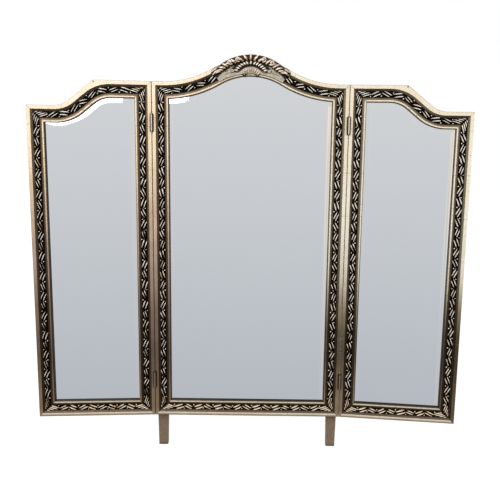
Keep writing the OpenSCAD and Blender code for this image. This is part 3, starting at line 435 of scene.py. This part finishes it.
def leaf(bm, length, width, rise, bend, place, lobes=0, steps=6, shade=1.0):
    """One keeled leaf along its own +x; its relief is 0 in the hollows and shade on the keel."""
    relief = bm.verts.layers.float["relief"]
    rings = []
    for i in range(1, steps):
        t = i / steps
        notch = 0.22 * (lobes > 0) * (math.cos(2 * math.pi * lobes * t) + 1) / 2
        half = width / 2 * math.sin(math.pi * t ** 0.8) ** 0.6 * (1 - notch)
        top = rise * (0.55 + 0.45 * math.sin(math.pi * t))
        ring = []
        for across, up, height in (
                (-1, 0.0, 0.0), (-0.5, 0.7, 0.55), (0, 1.0, 1.0), (0.5, 0.7, 0.55), (1, 0.0, 0.0), (0, -0.2, 0.0)):
            v = bm.verts.new(place @ Vector((length * t, -top * up, bend * t * t + half * across)) * MM)
            v[relief] = shade * height
            ring.append(v)
        rings.append(ring)
    skinned(bm, rings)
    start = bm.verts.new(place @ Vector((0, -rise * 0.15, 0)) * MM)
    end = bm.verts.new(place @ Vector((length, -rise * 0.35, bend)) * MM)
    start[relief], end[relief] = 0.3 * shade, 0.8 * shade
    first, last = rings[0], rings[-1]
    for k in range(-1, len(first) - 1):
        bm.faces.new((start, first[k + 1], first[k]))
        bm.faces.new((end, last[k], last[k + 1]))


def berry(bm, radius, place):
    """A small bead, dark behind and bright in front."""
    relief = bm.verts.layers.float["relief"]
    centre = place.translation * MM
    made = bmesh.ops.create_icosphere(bm, subdivisions=1, radius=radius * MM, matrix=Matrix.Translation(centre))
    for v in made["verts"]:
        v[relief] = 0.9 if v.co.y < centre.y + 0.3 * radius * MM else 0.0


def flat(x, z, turn=0.0, depth=0.0, side=1):
    """A place on a panel's face: +x turned by so many degrees towards +z, sunk by depth, and mirrored for side -1."""
    place = Matrix.Translation((x, depth, z)) @ Matrix.Rotation(math.radians(-turn), 4, "Y")
    return Matrix.Diagonal((side, 1, 1, 1)) @ place


def started_shape():
    """An empty shape whose points carry their height in the relief, for the finish to rub and shade by."""
    bm = bmesh.new()
    bm.verts.layers.float.new("relief")
    return bm


def leaf_set(lean, leaves, rise, shade, bead, bead_z):
    """A berry, and leaves as (place across the set, start and end along the strip, width), leaning to the glass."""
    bm = started_shape()
    turn, way = math.radians(lean), math.copysign(1, lean)
    for across, start, end, width in leaves:
        z = (across + start * math.sin(turn)) / math.cos(turn)
        leaf(bm, (end - start) / math.cos(turn), width, rise, 1.6 * way, flat(start, z, lean - 2 * way), shade=shade)
    berry(bm, bead, flat(-LEAF_PITCH / 2, bead_z, depth=0.2 - bead))
    return bm


first_leaves = leaf_set(LEAF_LEAN, ((-5.7, -15, 21, 7.6), (5.5, -21, 14, 8.2)), 6.4, 1.0, 3.2, 7.0)
second_leaves = leaf_set(-LEAF_LEAN, ((-4.8, -21, 14, 6.6), (4.6, -13, 21, 6.4)), 5.8, 0.94, 2.6, -7.4)
mitre_leaves = started_shape()
for start, length, width in ((9.5, 40, 7.0), (3.5, 37, 7.0), (-2.5, 27, 6.4), (-8.0, 15, 5.4)):
    leaf(mitre_leaves, length, width, 6.0, 2.0, flat(start + 1.5, start, -19))
    leaf(mitre_leaves, length, width, 6.0, -2.0, flat(start, start + 1.5, 109))
for x, z in ((43, 8.6), (8.6, 43)):
    berry(mitre_leaves, 2.8, flat(x, z, depth=-2.4))

shapes = []
for name, bm in (("first set", first_leaves), ("second set", second_leaves), ("mitre set", mitre_leaves)):
    bmesh.ops.recalc_face_normals(bm, faces=bm.faces)
    shape = bpy.data.objects.new(name, bpy.data.meshes.new(name))
    bm.to_mesh(shape.data)
    bm.free()
    bpy.context.collection.objects.link(shape)
    shapes.append(shape)
first_set, second_set, mitre_set = shapes

made, add, at = started("silvered composition leaves, rubbed back to bright")
raised = add("Attribute", attribute_name="relief").outputs["Fac"]
mottle = add("TexNoise", {"Vector": at, "Scale": 210.0, "Detail": 4.0, "Roughness": 0.65})
rubbed = add("Math", (mottle, 1.1, -0.55), operation="MULTIPLY_ADD")
rubbed = add("Math", (raised, rubbed), operation="ADD")
dull = add("TexNoise", {"Vector": at, "Scale": 42.0, "Detail": 2.0})
dull = add("MapRange", {"Value": dull, "From Min": 0.45, "From Max": 0.68, "To Min": 0.1, "To Max": -0.32})
rubbed = add("Math", (rubbed, dull), operation="ADD")
# Painted shade darkens the leaves below knee height, and painted light brightens them again along the bottom rails.
height = add("MapRange", {"Value": add("SeparateXYZ", (at,)).outputs["Z"], "From Max": 1.6})
height = add("ValToRGB", (height,), stops=[
    (0.118, "#FFFFFF"), (0.135, "#000000"), (0.33, "#000000"), (0.62, "#E8E8E8"), (0.9, "#FFFFFF")])
rubbed = add("Math", (height, 0.26, rubbed), operation="MULTIPLY_ADD")
# Painted light: sides turned up and to the left are brightened as if lit from there; those turned down get painted
# shade.
turned = add("VectorMath", (add("TexCoord").outputs["Normal"], (-0.56, -0.2, 0.8)), operation="DOT_PRODUCT")
turned = add("MapRange", {"Value": turned, "From Min": -0.4, "From Max": 0.75, "To Min": -0.9, "To Max": 0.26})
rubbed = add("Math", (rubbed, turned), operation="ADD")
# The silver's varnish has yellowed along the bottom rails.
low = add("ValToRGB", (add("SeparateXYZ", (at,)).outputs["Z"],), stops=[(0.2, "#FCF0DF"), (0.3, "#FFFFFF")])
base = add("ValToRGB", (rubbed,), stops=[
    (0.26, "#080402"), (0.42, "#5A3D25"), (0.58, "#C3A07A"), (0.78, "#FCEDD4"), (1.0, "#FFFBF0")])
base = add("Mix", {"Factor": 1.0, "A": base, "B": low}, data_type="RGBA", blend_type="MULTIPLY")
shine = add("MapRange", {"Value": rubbed, "From Min": 0.4, "From Max": 0.9, "To Max": 0.22})
bump = add("Bump", {"Strength": 0.3, "Distance": 0.0006, "Height": mottle})
shader = add("BsdfPrincipled", {
    "Base Color": base, "Metallic": shine, "Roughness": 0.36, "Specular IOR Level": 0.08, "Normal": bump})
add("OutputMaterial", {"Surface": shader})
leaf_finish = made

run_tree = bpy.data.node_groups.new("leaves along a channel", "GeometryNodeTree")
run_tree.interface.new_socket("Geometry", in_out="INPUT", socket_type="NodeSocketGeometry")
for label, kind in (("First set", "Object"), ("Second set", "Object"), ("Pitch", "Float"), ("Size jitter", "Float"),
                    ("Turn jitter", "Float"), ("Seed", "Int"), ("Finish", "Material")):
    run_tree.interface.new_socket(label, in_out="INPUT", socket_type="NodeSocket" + kind)
run_tree.interface.new_socket("Geometry", in_out="OUTPUT", socket_type="NodeSocketGeometry")
add = partial(node, run_tree)
given = add("NodeGroupInput").outputs
line = add("GeometryNodeMeshToCurve", {"Mesh": given["Geometry"]})
steps = add("Math", (add("GeometryNodeSplineLength"), given["Pitch"]), operation="DIVIDE")
steps = add("Math", (steps, 1.0), operation="ADD")
steps = add("Math", (steps,), operation="ROUND")
even = add("GeometryNodeResampleCurve", {"Curve": line, "Count": steps})
along = add("SeparateXYZ", (add("GeometryNodeInputTangent"),))
turn = add("Math", (along.outputs["Z"], along.outputs["X"]), operation="ARCTAN2")
loose = add("FunctionNodeRandomValue", {"Min": -1.0, "Max": 1.0, "Seed": given["Seed"]}, data_type="FLOAT")
tilt = add("Math", (loose, given["Turn jitter"]), operation="MULTIPLY")
turn = add("CombineXYZ", {"Y": add("Math", (tilt, turn), operation="SUBTRACT")})
size = add("Math", (loose, given["Size jitter"], 1.0), operation="MULTIPLY_ADD")
odd = add("Math", (add("GeometryNodeInputIndex"), 2.0), operation="MODULO")
even_ones = add("Math", (1.0, odd), operation="SUBTRACT")
both = add("GeometryNodeJoinGeometry")
for chosen, label in ((even_ones, "First set"), (odd, "Second set")):
    put = add("GeometryNodeInstanceOnPoints", {
        "Points": even, "Selection": chosen, "Rotation": turn, "Scale": size,
        "Instance": add("GeometryNodeObjectInfo", {"Object": given[label]}).outputs["Geometry"]})
    run_tree.links.new(put.outputs[0], both.inputs[0])
done = add("GeometryNodeSetMaterial", {
    "Geometry": add("GeometryNodeRealizeInstances", {"Geometry": both}), "Material": given["Finish"]})
add("NodeGroupOutput", {"Geometry": done})


def arc(centre, r, start, stop, steps=14):
    """Points round a centre, from one angle to another, in degrees from +x towards +z."""
    turns = [math.radians(start + (stop - start) * i / steps) for i in range(steps + 1)]
    return [(centre[0] + r * math.cos(a), centre[1] + r * math.sin(a)) for a in turns]


def shortened(points, *gone_at_ends):
    """The same path, cut shorter at its two ends."""
    for gone in gone_at_ends:
        while gone > 0:
            a, b = Vector(points[0]), Vector(points[1])
            if (b - a).length <= gone:
                gone -= (b - a).length
                points = points[1:]
            else:
                points = [tuple(a + (b - a).normalized() * gone)] + points[1:]
                gone = 0
        points = points[::-1]
    return points


def laid_leaves(name, runs, corners, place, body, seed):
    """Leaf sets along each run of a channel, and a chevron at each of its corners, as one piece."""
    vertices, edges = [], []
    for run in runs:
        edges += [(len(vertices) + k, len(vertices) + k + 1) for k in range(len(run) - 1)]
        vertices += [(x * MM, 0, z * MM) for x, z in run]
    path = bpy.data.objects.new("channel", bpy.data.meshes.new("channel"))
    path.data.from_pydata(vertices, edges, [])
    bpy.context.collection.objects.link(path)
    grow = path.modifiers.new("leaves", "NODES")
    grow.node_group = run_tree
    given = {"First set": first_set, "Second set": second_set, "Pitch": LEAF_PITCH * MM, "Size jitter": 0.08,
             "Turn jitter": 0.1, "Seed": seed, "Finish": leaf_finish}
    for item in run_tree.interface.items_tree:
        if item.in_out == "INPUT" and item.name in given:
            grow[item.identifier] = given[item.name]
    leaves = bpy.data.meshes.new_from_object(path.evaluated_get(bpy.context.evaluated_depsgraph_get()))
    bpy.data.objects.remove(path)
    bm = bmesh.new()
    bm.from_mesh(leaves)
    for k, (x, z) in enumerate(corners):
        chevron = mitre_set.data.copy()
        chevron.transform(Matrix.Translation((x * MM, 0, z * MM)) @ Matrix.Rotation(math.radians(-90 * k), 4, "Y"))
        bm.from_mesh(chevron)
    finished(name, bm, place @ Matrix.Translation((0, BAND_FLOOR * MM, 0)), body, leaf_finish)


# Centre: corners from the lower left round to the upper left, then a run of leaves along each side, and up each
# half of the shaped top to the crest's foot.
SWEEP_X, SWEEP_R, SWEEP_TURN = 340, 380, 30
side_x, top_z = CENTRE_EDGE - BAND_MID, PANEL_H - BAND_MID
corners = [(-side_x, BAND_MID), (side_x, BAND_MID), (side_x, top_z), (-side_x, top_z)]
half_top = [corners[2]] + arc((SWEEP_X, PANEL_H + SWEEP_R), SWEEP_R + BAND_MID, 270, 270 - SWEEP_TURN)
half_top = shortened(half_top, CORNER_ROOM, CREST_ROOM)
foot, right, left = (shortened(run, CORNER_ROOM, CORNER_ROOM) for run in (
    corners[:2], corners[1:3], [corners[3], corners[0]]))
runs = [foot, right, half_top, [(-x, z) for x, z in half_top[::-1]], left]
laid_leaves("centre_leaves", runs, corners, centre_place, "centre_panel", 3)

# Wings: the top runs level from the hinge, over a rounded shoulder and through a hollow to the lower, outer corner.
ROUND_X, ROUND_R = 154.75, 167
HOLLOW_X, HOLLOW_R = 370.11, 100
MEET = 50.5
near_x, far_x, shoulder_z = EDGE_X + BAND_MID, WING_W - BAND_MID, SHOULDER_H - BAND_MID
corners = [(near_x, BAND_MID), (far_x, BAND_MID), (far_x, shoulder_z), (near_x, top_z)]
top_run = (corners[3:] + arc((ROUND_X, PANEL_H - ROUND_R), ROUND_R - BAND_MID, 90, MEET)
           + arc((HOLLOW_X, SHOULDER_H + HOLLOW_R), HOLLOW_R + BAND_MID, 180 + MEET, 270) + corners[2:3])
runs = [shortened(run, CORNER_ROOM, CORNER_ROOM) for run in (
    corners[:2], corners[1:3], top_run[::-1], [corners[3], corners[0]])]
for label, place, seed in (("left_wing", left_place, 5), ("right_wing", right_place, 7)):
    laid_leaves(label + "_leaves", runs, corners, place, label, seed)
for shape in shapes:
    bpy.data.objects.remove(shape)


# Crest. A carved half-round, glued over the top of the centre frame: acanthus lobes and two pairs of scrolls
# round its rim, a small leafed arch below them, a fan of petals inside the arch, and a spray at each side.
CREST_R = 200
CREST_Z = PANEL_H + 108.5 - CREST_R  # the middle of its rim
CREST_FACE = -3.0
ARCH_Z = PANEL_H + 4
BORDER_R, BORDER_Z = 291.5, PANEL_H - 208.9  # the middle line of the border that runs round the crown
SIDES = 6


def polar(centre_z, radius, angle, turn, depth=0.0, side=1):
    """A place round a centre on the middle line: angle from upright, turn from the outward radius."""
    a = math.radians(angle)
    return flat(radius * math.sin(a), centre_z + radius * math.cos(a), 90 - angle - turn, depth, side)


def roll(bm, place, path, tone):
    """A six-sided roll along points given as (middle, outward, half width, half depth), with its top toned."""
    relief = bm.verts.layers.float["relief"]
    rings = []
    for middle, out, across, deep in path:
        ring = []
        for k in range(SIDES):
            b = 2 * math.pi / SIDES * k
            v = bm.verts.new(place @ (middle + out * across * math.cos(b) - Vector((0, deep * math.sin(b), 0))) * MM)
            v[relief] = tone if 0 < k < 3 else 0.1
            ring.append(v)
        rings.append(ring)
    skinned(bm, rings)
    bm.faces.new(rings[0])
    bm.faces.new(rings[-1][::-1])


def scroll(bm, place, radius, turns, thick, rise):
    """A tapering roll wound in on itself, with a bead at its eye."""
    path = []
    count = int(14 * turns)
    for i in range(count + 1):
        t = i / count
        a = 2 * math.pi * turns * t
        out = Vector((math.cos(a), 0, math.sin(a)))
        half = thick / 2 * (1 - 0.45 * t)
        path.append((out * radius * (1 - 0.72 * t) - Vector((0, rise * (0.3 + 0.7 * t), 0)), out, half, half))
    roll(bm, place, path, math.sin(math.pi / 3) ** 0.5)
    berry(bm, thick * 0.5, place @ Matrix.Translation((0, -rise, 0)))


carving = started_shape()
for side in (-1, 1):
    # Rim: thick lobes lean outwards from the top, over two scrolls, to a row of lobes side by side at the flank.
    for angle, radius, turn, length, width, bend, lobes in (
            (4.0, 168, 20, 34, 25, -6, 3), (9.0, 169, 40, 35, 25, -9, 3), (12.2, 176, 64, 27, 17, -6, 0),
            (19.4, 167, 20, 31, 25, -6, 3), (23.2, 170, 44, 34, 22, -9, 0), (30.0, 166, 18, 33, 22, -7, 0),
            (33.8, 167, 30, 34, 20, -8, 0), (37.4, 169, 42, 32, 18, -8, 0), (40.4, 172, 56, 29, 17, -6, 0)):
        leaf(carving, length, width, 10.5, bend, polar(CREST_Z, radius, angle, turn, -2.4, side), lobes=lobes, steps=9)
    for angle, turn in ((15.6, 200), (26.0, 210)):
        scroll(carving, polar(CREST_Z, 184, angle, turn, -5.5, side), 9.4, 1.3, 9.6, 5.2)
    leaf(carving, 36, 19, 9.5, -3, polar(CREST_Z, 184, 41.6, 84, -2.2, side), lobes=3, steps=10)
    # The last lobe lies out over the frame's border, where the crest dies into it.
    leaf(carving, 36, 16, 7.5, -4, polar(BORDER_Z, BORDER_R, 25.0, 92, 0.4, side), steps=8)
    # A broad flat leaf fills each shoulder, with two fine ribs curving up to the foot of the arch.
    leaf(carving, 58, 19, 2.6, -10, flat(72, 1409, -12, -0.8, side), steps=10, shade=0.7)
    for x, z, turn, length, bend in ((68, 1400, -8, 50, -11), (66, 1416, 10, 40, -10)):
        leaf(carving, length, 4.2, 4.4, bend, flat(x, z, turn, -0.8, side), steps=8)
    scroll(carving, flat(72, 1404, 150, -3.2, side), 6.4, 1.2, 5.2, 3.2)
leaf(carving, 33, 23, 10.5, 1.5, polar(CREST_Z, 168, -0.2, 3, -2.8), lobes=3, steps=9)
# Rim moulding: a plain rounded edge outside the leaves, 44 degrees to each side.
middle = Vector((0, CREST_FACE - 0.5, CREST_Z))
outs = [Vector((math.sin(a), 0, math.cos(a))) for a in (math.radians(-44 + 88 * i / 60) for i in range(61))]
roll(carving, Matrix(), [(middle + out * (CREST_R - 5.2), out, 2.6, 2.8) for out in outs], 0.48)
# Arch: short leaves stand side by side and lean away from its crown.
for k in range(-6, 7):
    way = (k > 0) - (k < 0)
    leaf(carving, 18, 13.5, 7.0, -1.5 * way, polar(ARCH_Z, 61.5, k * 8.4, 24 * way, -4.6), shade=1.3)
# Fan: low broad ribs spread from the arch's foot like a shell.
for k in range(-4, 5):
    leaf(carving, 27, 11.6, 3.2, 0, polar(ARCH_Z, 30, k * 11.0, 0, -1.0), shade=0.95)

made, add, at = started("carved and gilded wood, olive-brown glaze")
raised = add("Attribute", attribute_name="relief").outputs["Fac"]
mottle = add("TexNoise", {"Vector": at, "Scale": 180.0, "Detail": 5.0, "Roughness": 0.65})
rubbed = add("Math", (mottle, 1.3, -0.65), operation="MULTIPLY_ADD")
rubbed = add("Math", (raised, rubbed), operation="ADD")
# Painted light: sides turned up and to the left are brighter, and those turned down darker, as painted shade.
turned = add("VectorMath", (add("TexCoord").outputs["Normal"], (-0.45, -0.2, 0.87)), operation="DOT_PRODUCT")
turned = add("MapRange", {"Value": turned, "From Min": -0.4, "From Max": 0.75, "To Min": -0.95, "To Max": 0.12})
rubbed = add("Math", (rubbed, turned), operation="ADD")
base = add("ValToRGB", (rubbed,), stops=[
    (0.0, "#120A05"), (0.2, "#4F3623"), (0.42, "#A08268"), (0.62, "#D3BCA2"), (0.86, "#FCF1E0")])
shine = add("MapRange", {"Value": rubbed, "From Min": 0.4, "From Max": 0.9, "To Max": 0.3})
bump = add("Bump", {"Strength": 0.35, "Distance": 0.0008, "Height": mottle})
shader = add("BsdfPrincipled", {
    "Base Color": base, "Metallic": shine, "Roughness": 0.4, "Specular IOR Level": 0.1, "Normal": bump})
add("OutputMaterial", {"Surface": shader})
finished("crest_carving", carving, centre_place, "centre_panel", made)

made, add, at = started("carved wood, olive-cream glaze")
mottle = add("TexNoise", {"Vector": at, "Scale": 110.0, "Detail": 5.0, "Roughness": 0.65})
base = add("ValToRGB", (mottle,), stops=[(0.35, "#A39682"), (0.55, "#D0C5B0"), (0.72, "#E8E0D0")])
# Painted shade darkens the ground behind the rim's lobes, and in a line over the arch and another under it.
rigid = centre_place.inverted()
local = add("Mapping", {"Vector": at, "Location": rigid.translation, "Rotation": rigid.to_euler()})
upper = add("MapRange", {"Value": add("SeparateXYZ", (local,)).outputs["Z"],
                         "From Min": (ARCH_Z + 30) * MM, "From Max": (ARCH_Z + 42) * MM})
local = add("VectorMath", (local, (1, 0, 1)), operation="MULTIPLY")
for middle_z, reach, part, stops in (
        (CREST_Z, 0.2, 1.0, [(0.82, "#000000"), (0.85, "#FFFFFF")]),
        (ARCH_Z, 0.1, upper, [(0.54, "#000000"), (0.57, "#FFFFFF"), (0.86, "#FFFFFF"), (0.9, "#000000")])):
    away = add("VectorMath", (local, (0, 0, middle_z * MM)), operation="DISTANCE")
    away = add("MapRange", {"Value": away, "From Max": reach})
    dark = add("ValToRGB", (away,), stops=stops)
    dark = add("Math", (dark, part), operation="MULTIPLY")
    base = add("Mix", {"Factor": dark, "A": base, "B": "#20150C"}, data_type="RGBA")
# Painted shade darkens the hollows, by their occlusion.
hollow = add("AmbientOcclusion", {"Distance": 0.012}, samples=8)
hollow = add("MapRange", {"Value": hollow.outputs["AO"], "From Min": 0.88, "From Max": 0.55})
base = add("Mix", {"Factor": hollow, "A": base, "B": "#1A110A"}, data_type="RGBA")
bump = add("Bump", {"Strength": 0.5, "Distance": 0.001, "Height": mottle})
rough = add("MapRange", {"Value": mottle, "To Min": 0.4, "To Max": 0.7})
shader = add("BsdfPrincipled", {"Base Color": base, "Roughness": rough, "Specular IOR Level": 0.25, "Normal": bump})
add("OutputMaterial", {"Surface": shader})
coat(made, ["crest"])


# Hinges. Four cast brass butt hinges, each two knuckled leaves round a pin, let in flush between the stiles;
# the maker leafed over them with the frame, and handling has rubbed patches back to bare, dull brass.
made, add, at = started("cast brass, gilded over and rubbed")
# Painted reflection and shade: the leaf over them is paler higher up and darker towards the foot.
height = add("MapRange", {"Value": add("SeparateXYZ", (at,)).outputs["Z"], "From Min": 0.4, "From Max": 1.3})
leafed = add("ValToRGB", (height,), stops=[(0.0, "#7E6C59"), (0.5, "#A8937E"), (1.0, "#E2D0B8")])
stain = add("TexNoise", {"Vector": at, "Scale": 160.0, "Detail": 6.0, "Roughness": 0.7})
bare = add("MapRange", {"Value": stain, "From Min": 0.54, "From Max": 0.66, "To Max": 0.8})
base = add("Mix", {"Factor": bare, "A": leafed, "B": "#8C7350"}, data_type="RGBA")
# Painted shade darkens the sides of the barrels and the joints between the knuckles.
forward = centre_place.to_3x3() @ Vector((0, -1, 0))
facing = add("VectorMath", (add("TexCoord").outputs["Normal"], forward), operation="DOT_PRODUCT")
sides = add("MapRange", {"Value": facing, "From Min": 0.97, "From Max": 0.8})
hollow = add("AmbientOcclusion", {"Distance": 0.004}, samples=8)
knuckle_shade = add("MapRange", {"Value": hollow.outputs["AO"], "From Min": 0.9, "From Max": 0.55})
knuckle_shade = add("Math", (sides, knuckle_shade), operation="MAXIMUM")
base = add("Mix", {"Factor": knuckle_shade, "A": base, "B": "#2C1D12"}, data_type="RGBA")
scratch_at = add("Mapping", {"Vector": at, "Scale": (1, 1, 0.08)})
scratch = add("TexNoise", {"Vector": scratch_at, "Scale": 900.0, "Detail": 2.0})
bump = add("Bump", {"Strength": 0.35, "Distance": 0.0004, "Height": scratch})
rough = add("MapRange", {"Value": stain, "To Min": 0.3, "To Max": 0.6})
metal = add("MapRange", {"Value": bare, "From Max": 0.8, "To Min": 0.35, "To Max": 1.0})
shader = add("BsdfPrincipled", {"Base Color": base, "Metallic": metal, "Roughness": rough, "Normal": bump})
add("OutputMaterial", {"Surface": shader})
coat(made, [name for name in nodes if "_hinge_" in name and name.endswith(("_leaf", "_pin", "_screws"))])


# Backs. Birch plywood boards, 4 mm thick, close each panel behind its glass, with the face grain upright.
# Small pine battens, pinned round the rebate, hold board and glass in; they are planed but not finished.
def wood(name, stops, stretch, knots, roughness):
    """Bare wood, with its grain along the axis that stretch draws out."""
    made, add, at = started(name)
    local = add("Mapping", {"Vector": at, "Scale": stretch})
    wander = add("TexNoise", {"Vector": local, "Scale": 1.2, "Detail": 2.0})
    wander = add("VectorMath", {"Vector": wander.outputs["Color"], "Scale": 0.5}, operation="SCALE")
    bent = add("VectorMath", (local, wander), operation="ADD")
    rings = add("TexNoise", {"Vector": bent, "Scale": 5.0, "Detail": 6.0, "Roughness": 0.62, "Distortion": 0.35})
    pores = add("Mapping", {"Vector": local, "Scale": (6, 6, 6)})
    pores = add("TexNoise", {"Vector": pores, "Scale": 6.0, "Detail": 3.0})
    base = add("ValToRGB", (rings,), stops=stops)
    flecks = add("MapRange", {"Value": pores, "From Min": 0.60, "From Max": 0.72, "To Max": 0.4})
    base = add("Mix", {"Factor": flecks, "A": base, "B": stops[0][1]}, data_type="RGBA")
    patch = add("TexNoise", {"Vector": at, "Scale": 3.5, "Detail": 3.0})
    patch = add("MapRange", {"Value": patch, "From Min": 0.35, "From Max": 0.75, "To Max": knots})
    base = add("Mix", {"Factor": patch, "A": base, "B": stops[0][1]}, data_type="RGBA")
    bump = add("Bump", {"Strength": 0.25, "Distance": 0.0005, "Height": pores})
    rough = add("MapRange", {"Value": rings, "To Min": roughness - 0.08, "To Max": roughness + 0.1})
    shader = add("BsdfPrincipled", {"Base Color": base, "Roughness": rough, "Specular IOR Level": 0.3, "Normal": bump})
    add("OutputMaterial", {"Surface": shader})
    return made


birch = wood("birch plywood, aged and dusty", [(0.3, "#8E6D49"), (0.5, "#BE9C71"), (0.7, "#D2B48A")],
             (38, 38, 3.0), 0.45, 0.66)
pine = wood("planed pine battens, bare", [(0.32, "#A4763F"), (0.5, "#CFA56B"), (0.7, "#E2C08C")],
            (70, 70, 5), 0.3, 0.6)
coat(birch, [name for name in nodes if name.endswith("_backboard")])
coat(pine, [name for name in nodes if name.endswith(("_battens", "_dowels"))])


# Posts, cross rail and prop. Two flat posts screwed to the back of the centre frame carry it, a cross rail is
# dowelled between them, and the prop hinged from the rail leans back. All are brushed with taupe milk paint.
made, add, at = started("taupe milk paint, brushed on pine")
brushed = add("Mapping", {"Vector": at, "Scale": (90, 90, 7)})
brushed = add("TexNoise", {"Vector": brushed, "Scale": 4.0, "Detail": 5.0, "Roughness": 0.6})
base = add("ValToRGB", (brushed,), stops=[(0.3, "#75624F"), (0.52, "#8B7560"), (0.72, "#9D8771")])
chip = add("TexNoise", {"Vector": at, "Scale": 60.0, "Detail": 7.0, "Roughness": 0.75})
bevel = add("Bevel", {"Radius": 0.0025}, samples=4)
true = add("NewGeometry").outputs["True Normal"]
edge = add("VectorMath", (bevel, true), operation="DOT_PRODUCT")
edge = add("MapRange", {"Value": edge, "From Min": 0.98, "From Max": 0.8, "To Max": 0.16})
wear_and_shade = add("Math", (chip, edge), operation="ADD")
wear_and_shade = add("MapRange", {"Value": wear_and_shade, "From Min": 0.66, "From Max": 0.70})
base = add("Mix", {"Factor": wear_and_shade, "A": base, "B": "#B08E64"}, data_type="RGBA")
# Painted shade darkens the paint in corners and where the posts pass under the frame.
post_shade = add("AmbientOcclusion", {"Distance": 0.03}, samples=8)
post_shade = add("MapRange", {"Value": post_shade.outputs["AO"], "From Min": 0.9, "From Max": 0.4, "To Max": 0.7})
base = add("Mix", {"Factor": post_shade, "A": base, "B": "#3B3128"}, data_type="RGBA")
bump = add("Bump", {"Strength": 0.3, "Distance": 0.0006, "Height": brushed})
bump = add("Bump", {"Strength": 0.4, "Distance": 0.0005, "Height": chip, "Normal": bump})
rough = add("MapRange", {"Value": chip, "To Min": 0.5, "To Max": 0.75})
shader = add("BsdfPrincipled", {"Base Color": base, "Roughness": rough, "Specular IOR Level": 0.35, "Normal": bump})
add("OutputMaterial", {"Surface": shader})
coat(made, [name for name in nodes if name.endswith(("_post", "_prop_leg", "_bar")) or name == "cross_rail"])


# Prop fittings. Pressed steel brackets screwed to the cross rail, turned pivot pins and countersunk screws, all
# bright zinc plated, with the faint spangle and grey bloom that zinc takes on.
made, add, at = started("zinc-plated steel, dulled")
spangle = add("TexVoronoi", {"Vector": at, "Scale": 260.0})
bloom = add("TexNoise", {"Vector": at, "Scale": 70.0, "Detail": 5.0})
base = add("ValToRGB", (bloom,), stops=[(0.3, "#7F8386"), (0.55, "#A9ADAF"), (0.75, "#C6C9C8")])
tone = add("SeparateColor", (spangle.outputs["Color"],)).outputs["Red"]
tone = add("MapRange", {"Value": tone, "To Max": 0.22})
base = add("Mix", {"Factor": tone, "A": base, "B": "#6A6E72"}, data_type="RGBA")
# Painted shade darkens the zinc in its crevices and corners.
dark = add("AmbientOcclusion", {"Distance": 0.005}, samples=8)
dark = add("MapRange", {"Value": dark.outputs["AO"], "From Min": 0.8, "From Max": 0.4, "To Max": 0.8})
base = add("Mix", {"Factor": dark, "A": base, "B": "#2B2B2B"}, data_type="RGBA")
rough = add("MapRange", {"Value": bloom, "To Min": 0.25, "To Max": 0.5})
bump = add("Bump", {"Strength": 0.15, "Distance": 0.0003, "Height": bloom})
shader = add("BsdfPrincipled", {"Base Color": base, "Metallic": 1.0, "Roughness": rough, "Normal": bump})
add("OutputMaterial", {"Surface": shader})
coat(made, ["left_prop_bracket", "right_prop_bracket", "prop_pivot_pins"])
coat(made, ["post_screws", "bracket_screws", "prop_bar_screws"])


# Foot pads. Moulded black rubber caps, pushed on under the prop's two legs so that they grip the floor: matt,
# with a dusty, scuffed tread.
made, add, at = started("moulded black rubber, scuffed")
dust = add("TexNoise", {"Vector": at, "Scale": 160.0, "Detail": 6.0, "Roughness": 0.7})
base = add("ValToRGB", (dust,), stops=[(0.35, "#191918"), (0.6, "#2A2928"), (0.8, "#5A5650")])
bump = add("Bump", {"Strength": 0.3, "Distance": 0.0005, "Height": dust})
shader = add("BsdfPrincipled", {"Base Color": base, "Roughness": 0.78, "Specular IOR Level": 0.3, "Normal": bump})
add("OutputMaterial", {"Surface": shader})
coat(made, ["prop_pads"])
